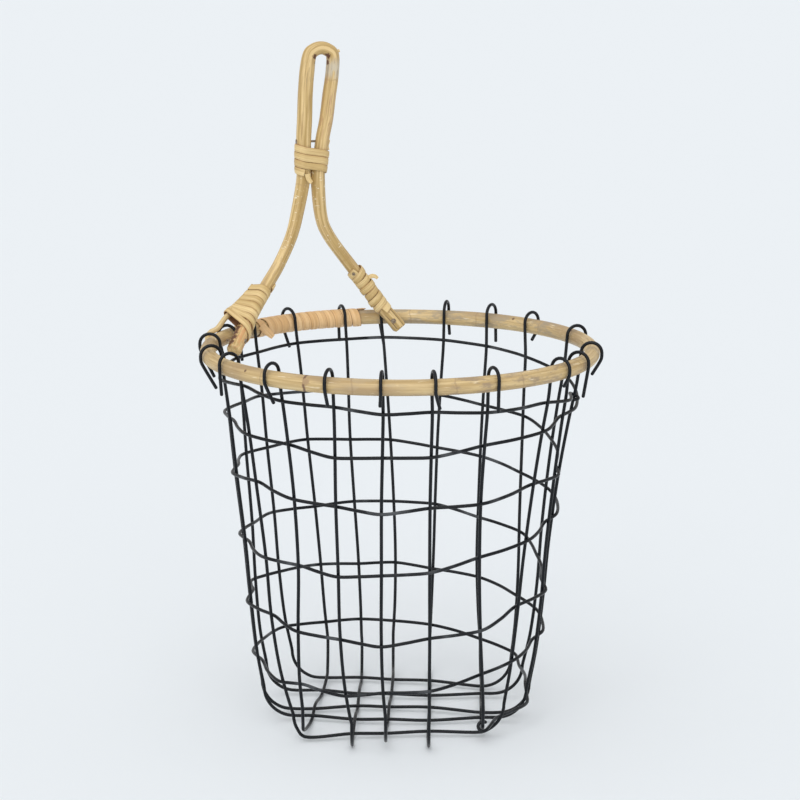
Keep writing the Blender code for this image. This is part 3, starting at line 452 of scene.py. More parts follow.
class Upright:
    """One end of a bent wire: its bend at the base's edge, its run up the wall and its hook over the rim."""

    def __init__(self, shares, last_crossing, direction):
        self.turn_share, self.lean_share, self.drop_share, self.swing_share, lift_share = shares[:5]
        self.low_share, self.middle_share, self.foot_share = shares[5:]
        self.lift = RIM_LIFT * lift_share
        self.hook_radius = HOOK_RADIUS + (STRIP_REACH if SPLICE_END < self.turn_share < SPLICE_START else 0)
        self.points = [*self.bend(last_crossing, direction)]
        self.points += self.wall(self.points[-1])
        self.line = self.points

    def wall_radius(self, height):
        flare = between([(rise, share) for rise, share, _ in WALL_SHARES], height / RIM_HEIGHT)
        even = WALL_FOOT_RADIUS + (RIM_RADIUS - self.hook_radius - WALL_FOOT_RADIUS) * flare
        return even + WALL_FOOT_RADIUS * self.foot_share * (1 - height / RIM_HEIGHT)**2

    def bend(self, last_crossing, direction):
        place = last_crossing - wall_centre(BASE_BEND_RADIUS)
        reach = wall_reach(place, direction, self.wall_radius(BASE_BEND_RADIUS))
        start = reach - BASE_BEND_RADIUS
        foot = last_crossing - UP * bend_lift(reach)
        if start > LEAST_REACH:
            yield foot + direction * start
        for rise in BEND_RISES:
            along = start + BASE_BEND_RADIUS * math.sqrt(1 - (1 - rise)**2)
            if along > LEAST_REACH / 2:
                yield foot + direction * along + UP * BASE_BEND_RADIUS * rise

    def wall(self, foot):
        foot_turn = turn_share_of(foot - wall_centre(foot.z))
        foot_turn -= round(foot_turn - self.low_share)
        low, middle, top = (RIM_HEIGHT * share for share in (LOW_SHARE, MIDDLE_SHARE, 1))
        drift = (
            (foot.z, foot_turn), (low, self.low_share), (middle, self.middle_share), (top, self.turn_share),
        )
        heights = [RIM_HEIGHT * share for share, *_ in WALL_SHARES]
        heights = [height for height in heights if foot.z + HOOK_NECK / 2 < height < RIM_HEIGHT - HOOK_NECK]
        for height in (*heights, RIM_HEIGHT - HOOK_NECK):
            yield round_place(between(drift, height), self.wall_radius(height), height) + wall_centre(height)

    def at(self, height):
        for start, end in zip(self.line, self.line[1:]):
            if height <= end.z and end.z > start.z:
                break
        return start + (end - start) * ((height - start.z) / (end.z - start.z)), (end - start).normalized()

    def beside(self, height, distance):
        place, along = self.at(height)
        return place + square_to(along, outward(place)) * distance

    def hook(self):
        radius = self.hook_radius
        lean = self.lean_share * TURN
        out = outward(round_place(self.turn_share, 1, 0))

        def round_rim(angle, lift=0):
            reach = out * math.cos(angle) + UP * math.sin(angle)
            return out * RIM_RADIUS + UP * (RIM_HEIGHT + lift) + reach * radius

        for step in range(HOOK_STEPS + 1):
            yield round_rim(math.pi * (1 - step / HOOK_STEPS), self.lift)
        for angle in (0, lean / 2, lean):
            yield round_rim(-angle)
        tail = (HOOK_TAIL_DROP * self.drop_share - radius * math.sin(lean)) / math.cos(lean)
        end = round_rim(-lean) - (out * math.sin(lean) + UP * math.cos(lean)) * tail
        yield end + UP.cross(out) * HOOK_TAIL_SWING * self.swing_share

    def route(self):
        return [*self.points, *self.hook()]


def corner_lift(number, other_number, spot):
    """At a corner of the base, both wires are already on their way up."""
    if number not in (0, 4) or other_number not in (0, 4):
        return 0
    place = spot - wall_centre(0)
    sideways = wall_reach(place, Vector((math.copysign(1, place.x), 0, 0)), WALL_FOOT_RADIUS)
    lengthways = wall_reach(place, Vector((0, math.copysign(1, place.y), 0)), WALL_FOOT_RADIUS)
    return (bend_lift(sideways) + bend_lift(lengthways)) / 2


def base_places(wire, number, others, runs_back):
    crossings = []
    for other_number, other in enumerate(others):
        spot = base_crossing(wire, other) if runs_back else base_crossing(other, wire)
        over = ((number + other_number) % 2 == 0) == runs_back
        wave = FRONT_BACK_WAVE if runs_back else CROSS_WIRE_WAVE
        shares = FRONT_LEFT_LIFT_SHARES if number == other_number == 0 else CORNER_LIFT_SHARES
        lift = corner_lift(number, other_number, spot) * shares[over]
        spot.z = BASE_LEVEL + (wave if over else -wave) + lift
        crossings.append(spot)
    return crossings


def cage_plan():
    """Each bent wire as (CAD node, its smooth line), and all the uprights."""
    plan, uprights = [], []
    for node, family, others, along in (
        ("front_back_wire", FRONT_BACK_WIRES, CROSS_WIRES, Vector((0, 1, 0))),
        ("cross_wire", CROSS_WIRES, FRONT_BACK_WIRES, Vector((1, 0, 0))),
    ):
        for number, wire in enumerate(family):
            places = base_places(wire, number, others, family is FRONT_BACK_WIRES)
            near = Upright(wire[0], places[0], -along)
            far = Upright(wire[1], places[-1], along)
            line = drawn_line([*reversed(near.route()), *places, *far.route()], WIRE_POINT_SPACING)
            middle = min(range(len(line)), key=lambda spot: (line[spot] - places[2]).length)
            near.line, far.line = line[middle::-1], line[middle:]
            uprights += [near, far]
            plan.append((f"{node}_{number + 1}", line))
    return plan, uprights


def eye_round(upright, height, side, climb):
    """The weaver's open eye round an upright, climbing as it goes."""
    centre, along = upright.at(height)
    out = (upright.beside(height, CROSSING_STEP) - centre).normalized()
    beside = along.cross(out)
    points = []
    for step in range(EYE_STEPS + 1):
        angle = (0 if side > 0 else math.pi) - EYE_SHARE * TURN * step / EYE_STEPS
        reach = out * math.cos(angle) + beside * math.sin(angle)
        points.append(centre + reach * EYE_RADIUS + along * climb * step / EYE_STEPS)
    return points


def weaver_line(uprights):
    ranked = sorted(uprights, key=lambda end: (WEAVER_START - end.turn_share) % 1)
    heights = [share for row in WEAVER_HEIGHTS for share in row]
    stations = [(number / 8, share) for number, share in enumerate(heights)]
    stations += WEAVER_END
    crossings = []
    for number in range(WEAVER_CROSSINGS):
        turn, which = divmod(number, len(ranked))
        upright = ranked[which]
        height = between(stations, turn + (WEAVER_START - upright.turn_share) % 1) * RIM_HEIGHT
        side = 1 if (number + turn) % 2 else -1
        crossings.append((upright.beside(height, side * CROSSING_STEP), upright, height, side))
    points = []
    for (spot, *_), (following, *_) in zip(crossings, crossings[1:]):
        middle = (spot + following) / 2
        middle += outward(middle) * ((spot.xy.length + following.xy.length) / 2 - middle.xy.length)
        points += [spot, middle]
    step = WIRE_DIAMETER + STRIP_GAP
    start_eye = eye_round(*crossings[0][1:], -step)
    end_eye = eye_round(*crossings[-1][1:], step)
    return drawn_line([*reversed(start_eye), *points[1:], *end_eye], WIRE_POINT_SPACING)


def add_object(name, data):
    piece = bpy.data.objects.new(name, data)
    bpy.context.scene.collection.objects.link(piece)
    return piece


def dress(piece, finish, slot, body, *nodes):
    """Gives the piece its finish, its body and the CAD nodes that it replaces."""
    piece.data.materials.append(finish)
    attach(piece, body)
    if nodes:
        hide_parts(*nodes)


def wire_piece(name, line, coat, node):
    """A round wire along the line, its cut ends worn round."""
    curve = bpy.data.curves.new(name, "CURVE")
    curve.dimensions = "3D"
    curve.bevel_depth = WIRE_RADIUS
    curve.bevel_resolution = 4
    curve.use_fill_caps = True
    first, last = (line[1] - line[0]).normalized(), (line[-2] - line[-1]).normalized()
    start = [line[0] + first * back for back, _ in WIRE_END]
    end = [line[-1] + last * back for back, _ in reversed(WIRE_END)]
    spline = curve.splines.new("POLY")
    points = [*start, *line[1:-1], *end]
    spline.points.add(len(points) - 1)
    for spot, place in zip(spline.points, points):
        spot.co = (*place, 1)
    for number, (_, width_share) in enumerate(WIRE_END):
        spline.points[number].radius = width_share
        spline.points[-1 - number].radius = width_share
    dress(add_object(name, curve), coat, "black_coat", "cage", node)


# Rattan poles


def carried_frames(line, first_side):
    """Each point with a direction across the line, carried along without twist, and the line's direction."""
    side = first_side
    frames = []
    for number, place in enumerate(line):
        along = run_past(line, number).normalized()
        side = square_to(along, side)
        frames.append((place, side, along))
    return frames


def swept_piece(name, frames, sides, shape_at, sharp):
    """A piece through the frames, ring by ring. Each point keeps its place on the piece laid straight."""
    work = bmesh.new()
    straight = work.verts.layers.float_vector.new("laid_straight")
    rings, length = [], 0.0
    for number, (place, side, along) in enumerate(frames):
        if number:
            length += (place - frames[number - 1][0]).length
        lift = along.cross(side)
        turned = Matrix((side, lift, along)).transposed().to_4x4()
        turned.translation = place
        cap = number in (0, len(frames) - 1)
        made = bmesh.ops.create_circle(work, cap_ends=cap, segments=sides, radius=1, matrix=turned)
        rings.append(list({edge for vert in made["verts"] for edge in vert.link_edges}))
        for vert in made["verts"]:
            reach = vert.co - place
            x, y = shape_at(number, length, reach.dot(side), reach.dot(lift))
            vert.co = place + side * x + lift * y
            vert[straight] = (x, y, length)
    for first, second in zip(rings, rings[1:]):
        bmesh.ops.bridge_loops(work, edges=first + second)
    bmesh.ops.recalc_face_normals(work, faces=work.faces)
    for face in work.faces:
        face.smooth = True
    mesh = bpy.data.meshes.new(name)
    work.to_mesh(mesh)
    work.free()
    mesh.set_sharp_from_angle(angle=math.radians(sharp))
    return add_object(name, mesh)


def pole_piece(name, frames, radius_at, sides=28):
    def shape_at(_, length, x, y):
        radius = radius_at(length, math.atan2(y, x))
        return x * radius, y * radius

    return swept_piece(name, frames, sides, shape_at, 35)


def rim_place(turn_share):
    return round_place(turn_share, RIM_RADIUS, RIM_HEIGHT)


def rim_surface(turn_share, round_share, reach=RIM_POLE_RADIUS):
    """A place beside the hoop's centre line, at a share of a turn round it from its outside, over the top."""
    angle = round_share * TURN
    centre = rim_place(turn_share)
    return centre + (outward(centre) * math.cos(angle) + UP * math.sin(angle)) * reach


def handle_place(turn_share, rise_share):
    return round_place(turn_share, HANDLE_RADIUS, RIM_HEIGHT + HANDLE_RISE * rise_share)


def pair_direction():
    back_tangent = outward(handle_place(WAIST_TURN, 0)).cross(UP)
    return Matrix.Rotation(-LOOP_TWIST * TURN, 3, "Z") @ back_tangent


def leg_places(shares, side):
    waist = handle_place(WAIST_TURN, shares[0][1])
    half_pair = HANDLE_POLE_RADIUS + WAIST_GAP / 2
    shift = waist + pair_direction() * side * half_pair - handle_place(*shares[0])
    places = []
    for turn_share, rise_share in shares:
        hold = max(0, rise_share / shares[0][1])
        places.append(handle_place(turn_share, rise_share) + shift * hold)
    return places


def loop_places():
    pair = pair_direction()
    half_waist = HANDLE_POLE_RADIUS + WAIST_GAP / 2
    half_loop = HANDLE_POLE_RADIUS + LOOP_OPENING / 2
    left, right = [], []
    for rise_share, lean_share, opening_share in LOOP:
        centre = handle_place(WAIST_TURN + (LOOP_TURN - WAIST_TURN) * lean_share, rise_share)
        half = half_waist + (half_loop - half_waist) * opening_share
        left.append(centre - pair * half)
        right.append(centre + pair * half)
    shoulder = handle_place(LOOP_TURN, 1) - UP * half_loop
    top = []
    for share in LOOP_TOP:
        top.append(shoulder + (pair * math.cos(math.pi * share) + UP * math.sin(math.pi * share)) * half_loop)
    return [*left, *top, *reversed(right)]


def handle_line():
    left = leg_places(LEFT_LEG, -1)
    right = leg_places(RIGHT_LEG, 1)
    return smooth_path([*reversed(left), *loop_places(), *right], 8)


def pole_radius(from_top):
    """The handle's pole is thicker from the waist up, and on the left side of the loop."""
    return HANDLE_POLE_RADIUS + between(POLE_THICKER, from_top)


class Leg:
    """One side of the handle, from the loop's top down to the foot."""

    def __init__(self, side):
        self.side = side
        points = handle_line()
        highest = max(range(len(points)), key=lambda number: points[number].z)
        self.points = points[highest:] if side > 0 else points[highest::-1]
        self.lengths = [0]
        for start, end in zip(self.points, self.points[1:]):
            self.lengths.append(self.lengths[-1] + (end - start).length)

    def length_at(self, rise_share):
        heights = [(-point.z, length) for point, length in zip(self.points, self.lengths)]
        return between(heights, -(RIM_HEIGHT + HANDLE_RISE * rise_share))

    def at(self, length):
        number = min(max(int(np.searchsorted(self.lengths, length)) - 1, 0), len(self.points) - 2)
        start, end = self.points[number], self.points[number + 1]
        t = (length - self.lengths[number]) / (self.lengths[number + 1] - self.lengths[number])
        before = end - self.points[max(number - 1, 0)]
        after = self.points[min(number + 2, len(self.points) - 1)] - start
        along = before.normalized() * (1 - t) + after.normalized() * t
        return start + (end - start) * t, along.normalized()


def handle_top_length():
    """How far along the pole the loop's top lies from the left foot."""
    return Leg(-1).lengths[-1]


def stay_line():
    places = []
    for turn_share, rise_share, out_share in STAY:
        radius = HANDLE_RADIUS + (RIM_RADIUS - HANDLE_RADIUS) * out_share
        places.append(round_place(turn_share, radius, RIM_HEIGHT + HANDLE_RISE * rise_share))
    reach = RIM_POLE_RADIUS + 2 * TOUCH_GAP + STAY_RADIUS
    places += [rim_surface(*shares, reach) for shares in STAY_ROUND_RIM]
    return smooth_path(places, 6)


# Wrappings


def band_section(poles, origin, facing, look):
    """Where a strip drawn tight round the poles lies on the look's side: place, outside and pole number."""
    found, most = None, -math.inf
    for number, (place, along, radius) in enumerate(poles):
        square = along.dot(facing)
        centre = place - along * ((place - origin).dot(facing) / square)
        slant = along - facing * square
        lean = slant.dot(look) / square**2
        spot = centre + (look + slant * lean) * (radius + TOUCH_GAP) / math.sqrt(1 + slant.dot(look) * lean)
        if (spot - origin).dot(look) > most:
            most = (spot - origin).dot(look)
            found = (spot, square_to(along, spot - place), number)
    return found


def wound_sections(section_at, turns):
    """The strip's sections over its turns, with two more wherever it passes from one pole to the other."""
    found = []
    for step in range(round(turns * STRIP_STEPS) + 1):
        low, high = (step - 1) / STRIP_STEPS, step / STRIP_STEPS
        if found and section_at(low)[2] != section_at(high)[2]:
            for _ in range(12):
                middle = (low + high) / 2
                if section_at(middle)[2] == section_at(low)[2]:
                    low = middle
                else:
                    high = middle
            found += [section_at(low), section_at(high)]
        found.append(section_at(step / STRIP_STEPS))
    return [(place, out) for place, out, _ in found]


def turned_look(facing, start_look, turns):
    return Matrix.Rotation(turns * TURN, 3, facing) @ square_to(facing, start_look)


def strip_piece(name, sections, width, finish, slot, *nodes, thickness=STRIP_THICKNESS, width_at=None):
    """A split strip through its sections, domed on its bark side, with worn edges."""
    places = [place for place, _ in sections]
    frames = []
    for number, (place, out) in enumerate(sections):
        side = out.cross(run_past(places, number)).normalized()
        frames.append((place, side, side.cross(out)))

    def shape_at(number, _, x, y):
        half = width / 2 * (width_at(number / (len(sections) - 1)) if width_at else 1)
        dome = (1 - STRIP_EDGE_SHARE) * max(y, 0)**STRIP_DOME_SHARE
        y = STRIP_EDGE_SHARE + dome - STRIP_EDGE_SHARE * max(-y, 0)**STRIP_INNER_SHARE
        return math.copysign(abs(x)**STRIP_SQUARE_SHARE, x) * half, y * thickness

    piece = swept_piece(name, frames, STRIP_SIDES, shape_at, 50)
    dress(piece, finish, slot, "rim_assembly", *nodes)


def waist_sections():
    legs = Leg(-1), Leg(1)
    starts = [leg.length_at(WAIST_TOP) for leg in legs]

    def section_at(turns):
        poles = []
        for leg, start in zip(legs, starts):
            length = start + turns * WAIST_PITCH
            poles.append((*leg.at(length), pole_radius(leg.side * length)))
        origin = (poles[0][0] + poles[1][0]) / 2
        facing = (poles[0][1] + poles[1][1]).normalized()
        facing = (facing + pair_direction() * WAIST_TILT).normalized()
        return band_section(poles, origin, facing, turned_look(facing, -pair_direction(), -turns))

    return wound_sections(section_at, WAIST_TURNS)


def place_along(line, length):
    """The place and direction at a length along a line of points."""
    for start, end in zip(line, line[1:]):
        step = (end - start).length
        if length <= step:
            break
        length -= step
    return start + (end - start) * min(length / step, 1), (end - start).normalized()


def left_sections():
    """Round the leg and its peg. The turns fan out, because they go down the leg faster than down the peg."""
    leg, peg = Leg(-1), stay_line()
    start = leg.length_at(LEFT_TOP)

    def section_at(turns):
        place, along = leg.at(start + between(LEFT_LEG_PITCHES, turns))
        beside, peg_along = place_along(peg, between(LEFT_PEG_PITCHES, turns))
        facing = square_to((place - beside).normalized(), along)
        over = between(LEFT_OVERLAP, turns)
        poles = [(place, along, HANDLE_POLE_RADIUS + over), (beside, peg_along, STAY_RADIUS + over)]
        return band_section(poles, place, facing, turned_look(facing, UP, -turns - LEFT_START))

    return wound_sections(section_at, LEFT_TURNS)


def right_sections():
    leg = Leg(1)
    start = leg.length_at(RIGHT_TOP)

    def section_at(turns):
        place, along = leg.at(start + turns * RIGHT_PITCH)
        sideways, upwards = RIGHT_WANDER
        wander = Vector((sideways * math.sin(turns * 2.1), 0, upwards * math.sin(turns * 1.3 + 1)))
        facing = (along + wander).normalized()
        lapped = HANDLE_POLE_RADIUS + RIGHT_LAP * (1 + math.sin(turns * 2.7))
        look = turned_look(facing, -outward(place), turns)
        return band_section([(place, along, lapped)], place, facing, look)

    return wound_sections(section_at, RIGHT_TURNS)


def splice_sections():
    def section_at(turns):
        place = rim_place(SPLICE_START - between(SPLICE_RUN, turns) / (TURN * RIM_RADIUS))
        along = outward(place).cross(UP)
        return band_section([(place, along, RIM_POLE_RADIUS)], place, along, turned_look(along, -UP, turns))

    return wound_sections(section_at, SPLICE_RUN[-1][0])


# Finishes


class Finish:
    """A material whose patterns are laid along a piece, or in the basket's own space."""

    def __init__(self, name, colour, laid_straight=True):
        self.material = bpy.data.materials.new(name)
        self.material.use_nodes = True
        self.nodes = self.material.node_tree.nodes
        self.links = self.material.node_tree.links
        self.surface = self.nodes["Principled BSDF"]
        self.painted = colour
        self.object_place = None
        if laid_straight:
            place = self.nodes.new("ShaderNodeAttribute")
            place.attribute_name = "laid_straight"
            self.place = place.outputs["Vector"]
        else:
            self.place = self.nodes.new("ShaderNodeTexCoord").outputs["Object"]

    def feed(self, socket, value):
        if isinstance(value, bpy.types.NodeSocket):
            self.links.new(value, socket)
        elif isinstance(value, tuple) and len(value) == 3 and socket.type == "RGBA":
            socket.default_value = (*value, 1)
        else:
            socket.default_value = value

    def maths(self, operation, first, second=0.0, third=0.0):
        node = self.nodes.new("ShaderNodeMath")
        node.operation = operation
        for socket, value in zip(node.inputs, (first, second, third)):
            self.feed(socket, value)
        return node.outputs[0]

    def mottle(self, stretch, scale, detail=2.0, rough=0.5, shift=(0, 0, 0)):
        """Noise with its cells stretched along some axes, from 0 to 1."""
        laid = self.nodes.new("ShaderNodeMapping")
        laid.inputs["Scale"].default_value = stretch
        laid.inputs["Location"].default_value = shift
        self.feed(laid.inputs["Vector"], self.place)
        noise = self.nodes.new("ShaderNodeTexNoise")
        noise.inputs["Scale"].default_value = scale
        noise.inputs["Detail"].default_value = detail
        noise.inputs["Roughness"].default_value = rough
        self.feed(noise.inputs["Vector"], laid.outputs[0])
        return noise.outputs[0]

    def ramp(self, value, low, high, start=0.0, end=1.0):
        node = self.nodes.new("ShaderNodeMapRange")
        node.interpolation_type = "SMOOTHSTEP"
        for socket, number in zip(node.inputs, (value, low, high, start, end)):
            self.feed(socket, number)
        return node.outputs[0]

    def paint(self, colour, share):
        """Paints the colour over the ones before it, by this share."""
        node = self.nodes.new("ShaderNodeMix")
        node.data_type = "RGBA"
        self.feed(node.inputs[0], share)
        self.feed(node.inputs[6], self.painted)
        self.feed(node.inputs[7], colour)
        self.painted = node.outputs[2]
        self.feed(self.surface.inputs["Base Color"], self.painted)

    def stain(self, colour, pattern, low, high, strength=1.0, where=1.0):
        """Paints the colour where the pattern goes from low to high, up to this strength."""
        self.paint(colour, self.maths("MULTIPLY", self.ramp(pattern, low, high, 0, strength), where))

    def axes(self):
        """How far across, out and along the piece a point lies."""
        node = self.nodes.new("ShaderNodeSeparateXYZ")
        self.feed(node.inputs[0], self.place)
        return node.outputs

    def near(self, value, place, reach, core_share=0.25):
        """1 at the place, falling to 0 at this reach to each side."""
        apart = self.maths("ABSOLUTE", self.maths("SUBTRACT", value, place))
        return self.ramp(apart, reach, reach * core_share)

    def spot(self, centre, reach, ragged=0.35, core_share=0.55):
        """1 about a point of the basket's space, falling to 0 at this reach, with a ragged edge."""
        if self.object_place is None:
            self.object_place = self.nodes.new("ShaderNodeTexCoord").outputs["Object"]
        apart = self.nodes.new("ShaderNodeVectorMath")
        apart.operation = "DISTANCE"
        self.feed(apart.inputs[0], self.object_place)
        apart.inputs[1].default_value = centre
        noise = self.mottle((1, 1, 1), 900, 2)
        rough = self.maths("MULTIPLY_ADD", noise, reach * ragged * 2, -reach * ragged)
        return self.ramp(self.maths("ADD", apart.outputs["Value"], rough), reach, reach * core_share)

    def stretch_of(self, value, start, end, soft):
        """1 between two lengths, falling to 0 past them."""
        rising = self.ramp(value, start - soft, start + soft)
        falling = self.ramp(value, end + soft, end - soft)
        return self.maths("MULTIPLY", rising, falling)

    def relief(self, height, depth, strength=1.0):
        node = self.nodes.new("ShaderNodeBump")
        node.inputs["Strength"].default_value = strength
        node.inputs["Distance"].default_value = depth
        self.feed(node.inputs["Height"], height)
        self.feed(self.surface.inputs["Normal"], node.outputs[0])

    def shine(self, roughness, specular=0.5, metallic=0.0):
        self.feed(self.surface.inputs["Roughness"], roughness)
        self.surface.inputs["Specular IOR Level"].default_value = specular
        self.surface.inputs["Metallic"].default_value = metallic


def black_coat_finish(name, worn):
    """Black lacquer on wire, rubbed grey by this share."""
    finish = Finish(name, LACQUER, laid_straight=False)
    patches = finish.mottle((1, 1, 1), 28, 3, 0.6)
    specks = finish.mottle((1, 1, 1), 900, 2, 0.6)
    finish.stain(LACQUER_PATCH, patches, 0.35, 0.70)
    finish.stain(LACQUER_RUBBED, patches, 0.66 - 0.16 * worn, 0.76 - 0.10 * worn, worn)
    finish.stain(LACQUER_SPECK, specks, 0.70, 0.78, 0.5)
    finish.shine(finish.ramp(specks, 0.3, 0.7, 0.24, 0.38), specular=0.26)
    finish.relief(specks, 0.00006, 0.5)
    return finish.material


def grained(name, colours, depth=0.0001):
    """A finish with rattan's long fibres, and the pattern of its clouds."""
    pale, deep, fibre = colours
    finish = Finish(name, pale)
    streaks = finish.mottle((1, 1, 0.028), 1500, 3, 0.55)
    bands = finish.mottle((1, 1, 0.04), 420, 2, 0.5, (3, 1, 0))
    clouds = finish.mottle((1, 1, 0.25), 60, 2, 0.5, (1, 5, 2))
    specks = finish.mottle((1, 1, 0.5), 2400, 2, 0.5, (2, 2, 7))
    finish.stain(deep, bands, 0.30, 0.72)
    finish.stain(fibre, streaks, 0.52, 0.70, 0.65)
    finish.stain(fibre, specks, 0.66, 0.74, 0.5)
    finish.relief(streaks, depth, 0.6)
    finish.shine(finish.ramp(streaks, 0.3, 0.7, 0.36, 0.56), specular=0.42)
    return finish, clouds


def rim_length(turn_share):
    """How far along the hoop a turn share lies, from its joint."""
    return (turn_share - RIM_JOINT) % 1 * TURN * RIM_RADIUS


def add_rings(finish, lengths, colour, wide, strength):
    """Thin bands across the rattan: growth rings, and the painted shade in the binding's gaps."""
    sway = finish.maths("MULTIPLY", finish.mottle((1, 1, 0.1), 160, 1), RING_SWAY)
    swayed = finish.maths("ADD", finish.axes()[2], sway)
    for place in lengths:
        ring = finish.near(swayed, place + RING_SWAY / 2, wide)
        finish.paint(colour, finish.maths("MULTIPLY", ring, strength))


def rim_finish():
    finish, clouds = grained("straw_rattan_rim", RIM_WOOD)
    finish.stain(RIM_CLOUD, clouds, 0.48, 0.68, 0.7)
    length = finish.axes()[2]
    patches = finish.mottle((1, 1, 0.35), 170, 4, 0.7, (4, 4, 4))
    for start, end, colour, strength in RIM_STAINS:
        where = finish.stretch_of(length, rim_length(start), rim_length(end), RIM_STAIN_EDGE)
        finish.stain(colour, patches, 0.46, 0.62, strength, where)
    # Pale patches along the rim: painted highlights
    painted_highlight_patches = finish.mottle((1, 1, 0.16), 420, 3, 0.6, (9, 1, 3))
    finish.stain(RIM_PAINTED_HIGHLIGHT, painted_highlight_patches, 0.62, 0.72, 0.6)
    add_rings(finish, [rim_length(share) for share in RIM_RINGS], RIM_RING, RING_WIDTH, 0.35)
    # The rim is painted dark in the binding's two gaps, as the shade between its turns
    gaps = [rim_length(SPLICE_START - along / (TURN * RIM_RADIUS)) for along in SPLICE_GAPS]
    add_rings(finish, gaps, BINDING_GAP_PAINTED_SHADE, SPLICE_GAP_WIDTH, 0.9)
    for share, round_share, reach in RIM_SPOTS:
        dark = finish.spot(rim_surface(share, round_share), reach)
        finish.paint(RIM_SPOT, finish.maths("MULTIPLY", dark, 0.85))
    knot_ring = rim_length(RIM_KNOT[0]) - KNOT_RING_BACK
    add_rings(finish, [knot_ring], KNOT_RING, KNOT_RING_WIDTH, 0.85)
    finish.paint(KNOT_FACE, finish.spot(rim_surface(*RIM_KNOT), KNOT_REACH, 0.6))
    return finish.material


def handle_finish():
    finish, clouds = grained("straw_rattan_handle", HANDLE_WOOD)
    finish.stain(HANDLE_CLOUD, clouds, 0.52, 0.72, 0.5)
    length = finish.axes()[2]
    top = handle_top_length()
    ticks = finish.mottle((0.35, 0.35, 1), 950, 2, 0.6, (5, 5, 5))
    blots = finish.mottle((1, 1, 0.14), 520, 3, 0.65, (2, 6, 1))
    for start, end, colour, low, strength in HANDLE_STAINS:
        where = finish.stretch_of(length, top + start, top + end, STAIN_EDGE)
        finish.stain(colour, ticks if low > 0.6 else blots, low, low + 0.08, strength, where)
    add_rings(finish, [top + place for place in HANDLE_RINGS], HANDLE_RING, RING_WIDTH, 0.35)
    splits = finish.mottle((1, 1, 0.012), 1100, 1, 0.5, (6, 3, 8))
    start, end = HANDLE_SPLIT
    where = finish.stretch_of(length, top + start, top + end, STAIN_EDGE)
    finish.stain(HANDLE_CRACK, splits, 0.60, 0.64, where=where)
    for centre, reach in handle_dark_places():
        finish.paint(HANDLE_BARK, finish.spot(centre, reach, 0.6))
    return finish.material


def handle_dark_places():
    """The cracks on the inside of the loop's two bends, and the bark left on the left leg's foot."""
    left, right = Leg(-1), Leg(1)
    for leg, inward in ((left, pair_direction()), (right, -pair_direction())):
        for length, inward_share, front_share, reach in LOOP_CRACKS:
            side = inward * inward_share + FRONT * front_share
            yield leg.at(length)[0] + side * HANDLE_POLE_RADIUS, reach
    for length, reach in FOOT_BARK:
        yield left.at(length)[0] + FOOT_BARK_SIDE * pole_radius(-length), reach


def strip_finish(name, colours, edge, width=0):
    """Split rattan. A flat strip, given by its width, gets painted shade: darker red-brown edges and a brown
    inner face.
    """
    finish, clouds = grained(name, colours, 0.00008)
    finish.stain(edge, clouds, 0.54, 0.80, 0.35)
    if width:
        across_strip, out = finish.axes()[:2]
        # Darker bands along the edges, one edge more than the other: painted shade where the turns meet
        finish.stain(edge, across_strip, width / 2 - 0.0005, width / 2 - 0.0001, 0.8)
        finish.stain(edge, across_strip, 0.0003 - width / 2, 0.0001 - width / 2, 0.4)
        # The inner face is painted brown, as shade
        finish.stain(STRIP_INNER_PAINTED_SHADE, out, 0.00022, 0.00008)
    return finish.material


def steel_finish():
    finish = Finish("dull_nail_steel", NAIL_STEEL, laid_straight=False)
    specks = finish.mottle((1, 1, 1), 1200, 3, 0.6)
    finish.stain(NAIL_RUST, specks, 0.40, 0.62)
    finish.shine(finish.ramp(specks, 0.3, 0.7, 0.35, 0.60), metallic=0.35)
    return finish.material


# Making the pieces


def make_cage():
    coat = black_coat_finish("black_wire_coat", 0.12)
    rubbed = black_coat_finish("rubbed_weaver_coat", 0.85)
    plan, uprights = cage_plan()
    for node, line in plan:
        wire_piece(f"drawn_{node}", line, coat, node)
    wire_piece("drawn_weaver_wire", weaver_line(uprights), rubbed, "weaver_wire")


def make_rim():
    gap = RIM_JOINT_GAP / (TURN * RIM_RADIUS)
    frames = []
    for step in range(RIM_STEPS + 1):
        place = rim_place(RIM_JOINT + gap + (1 - gap) * step / RIM_STEPS)
        frames.append((place, outward(place), UP.cross(outward(place))))

    def radius_at(length, angle):
        sway = math.sin(length * 31 + 1) * 0.4 + math.sin(length * 83 + angle * 2) * 0.35
        return RIM_POLE_RADIUS - RIM_THINNED + RIM_SWAY * sway

    rim = pole_piece("rattan_rim_hoop", frames, radius_at)
    dress(rim, rim_finish(), "rim_rattan", "rim_assembly", "rim_hoop")


def make_handle():
    line = handle_line()
    frames = carried_frames(line, outward(line[0]))
    top = handle_top_length()
    whole = top + Leg(1).lengths[-1]

    def radius_at(length, angle):
        sway = math.sin(length * 42) * 0.4 + math.sin(length * 110 + angle * 2) * 0.4
        from_end = min(length, whole - length)
        wear = END_WEAR + END_WEAR_SWAY * math.sin(angle * 3 + 1)
        worn = max(0, 1 - from_end / END_WEAR_LENGTH)**2 * wear
        return pole_radius(length - top) - HANDLE_THINNED + HANDLE_SWAY * sway - worn

    handle = pole_piece("rattan_handle_pole", frames, radius_at)
    dress(handle, handle_finish(), "rattan_pole", "rim_assembly", "handle_pole")


def make_peg():
    line = stay_line()
    shown = [place for place in line if place.z < line[0].z - PEG_TOP_CUT]
    frames = carried_frames(shown, outward(shown[0]))
    peg = pole_piece("left_leg_peg", frames, lambda *_: STAY_RADIUS, sides=18)
    bark = strip_finish("straw_peg", PEG_WOOD, PEG_EDGE)
    dress(peg, bark, "rattan_strip", "rim_assembly", "left_leg_stay")


def tapering(share):
    return 1 - TAIL_TAPER_SHARE * share**3


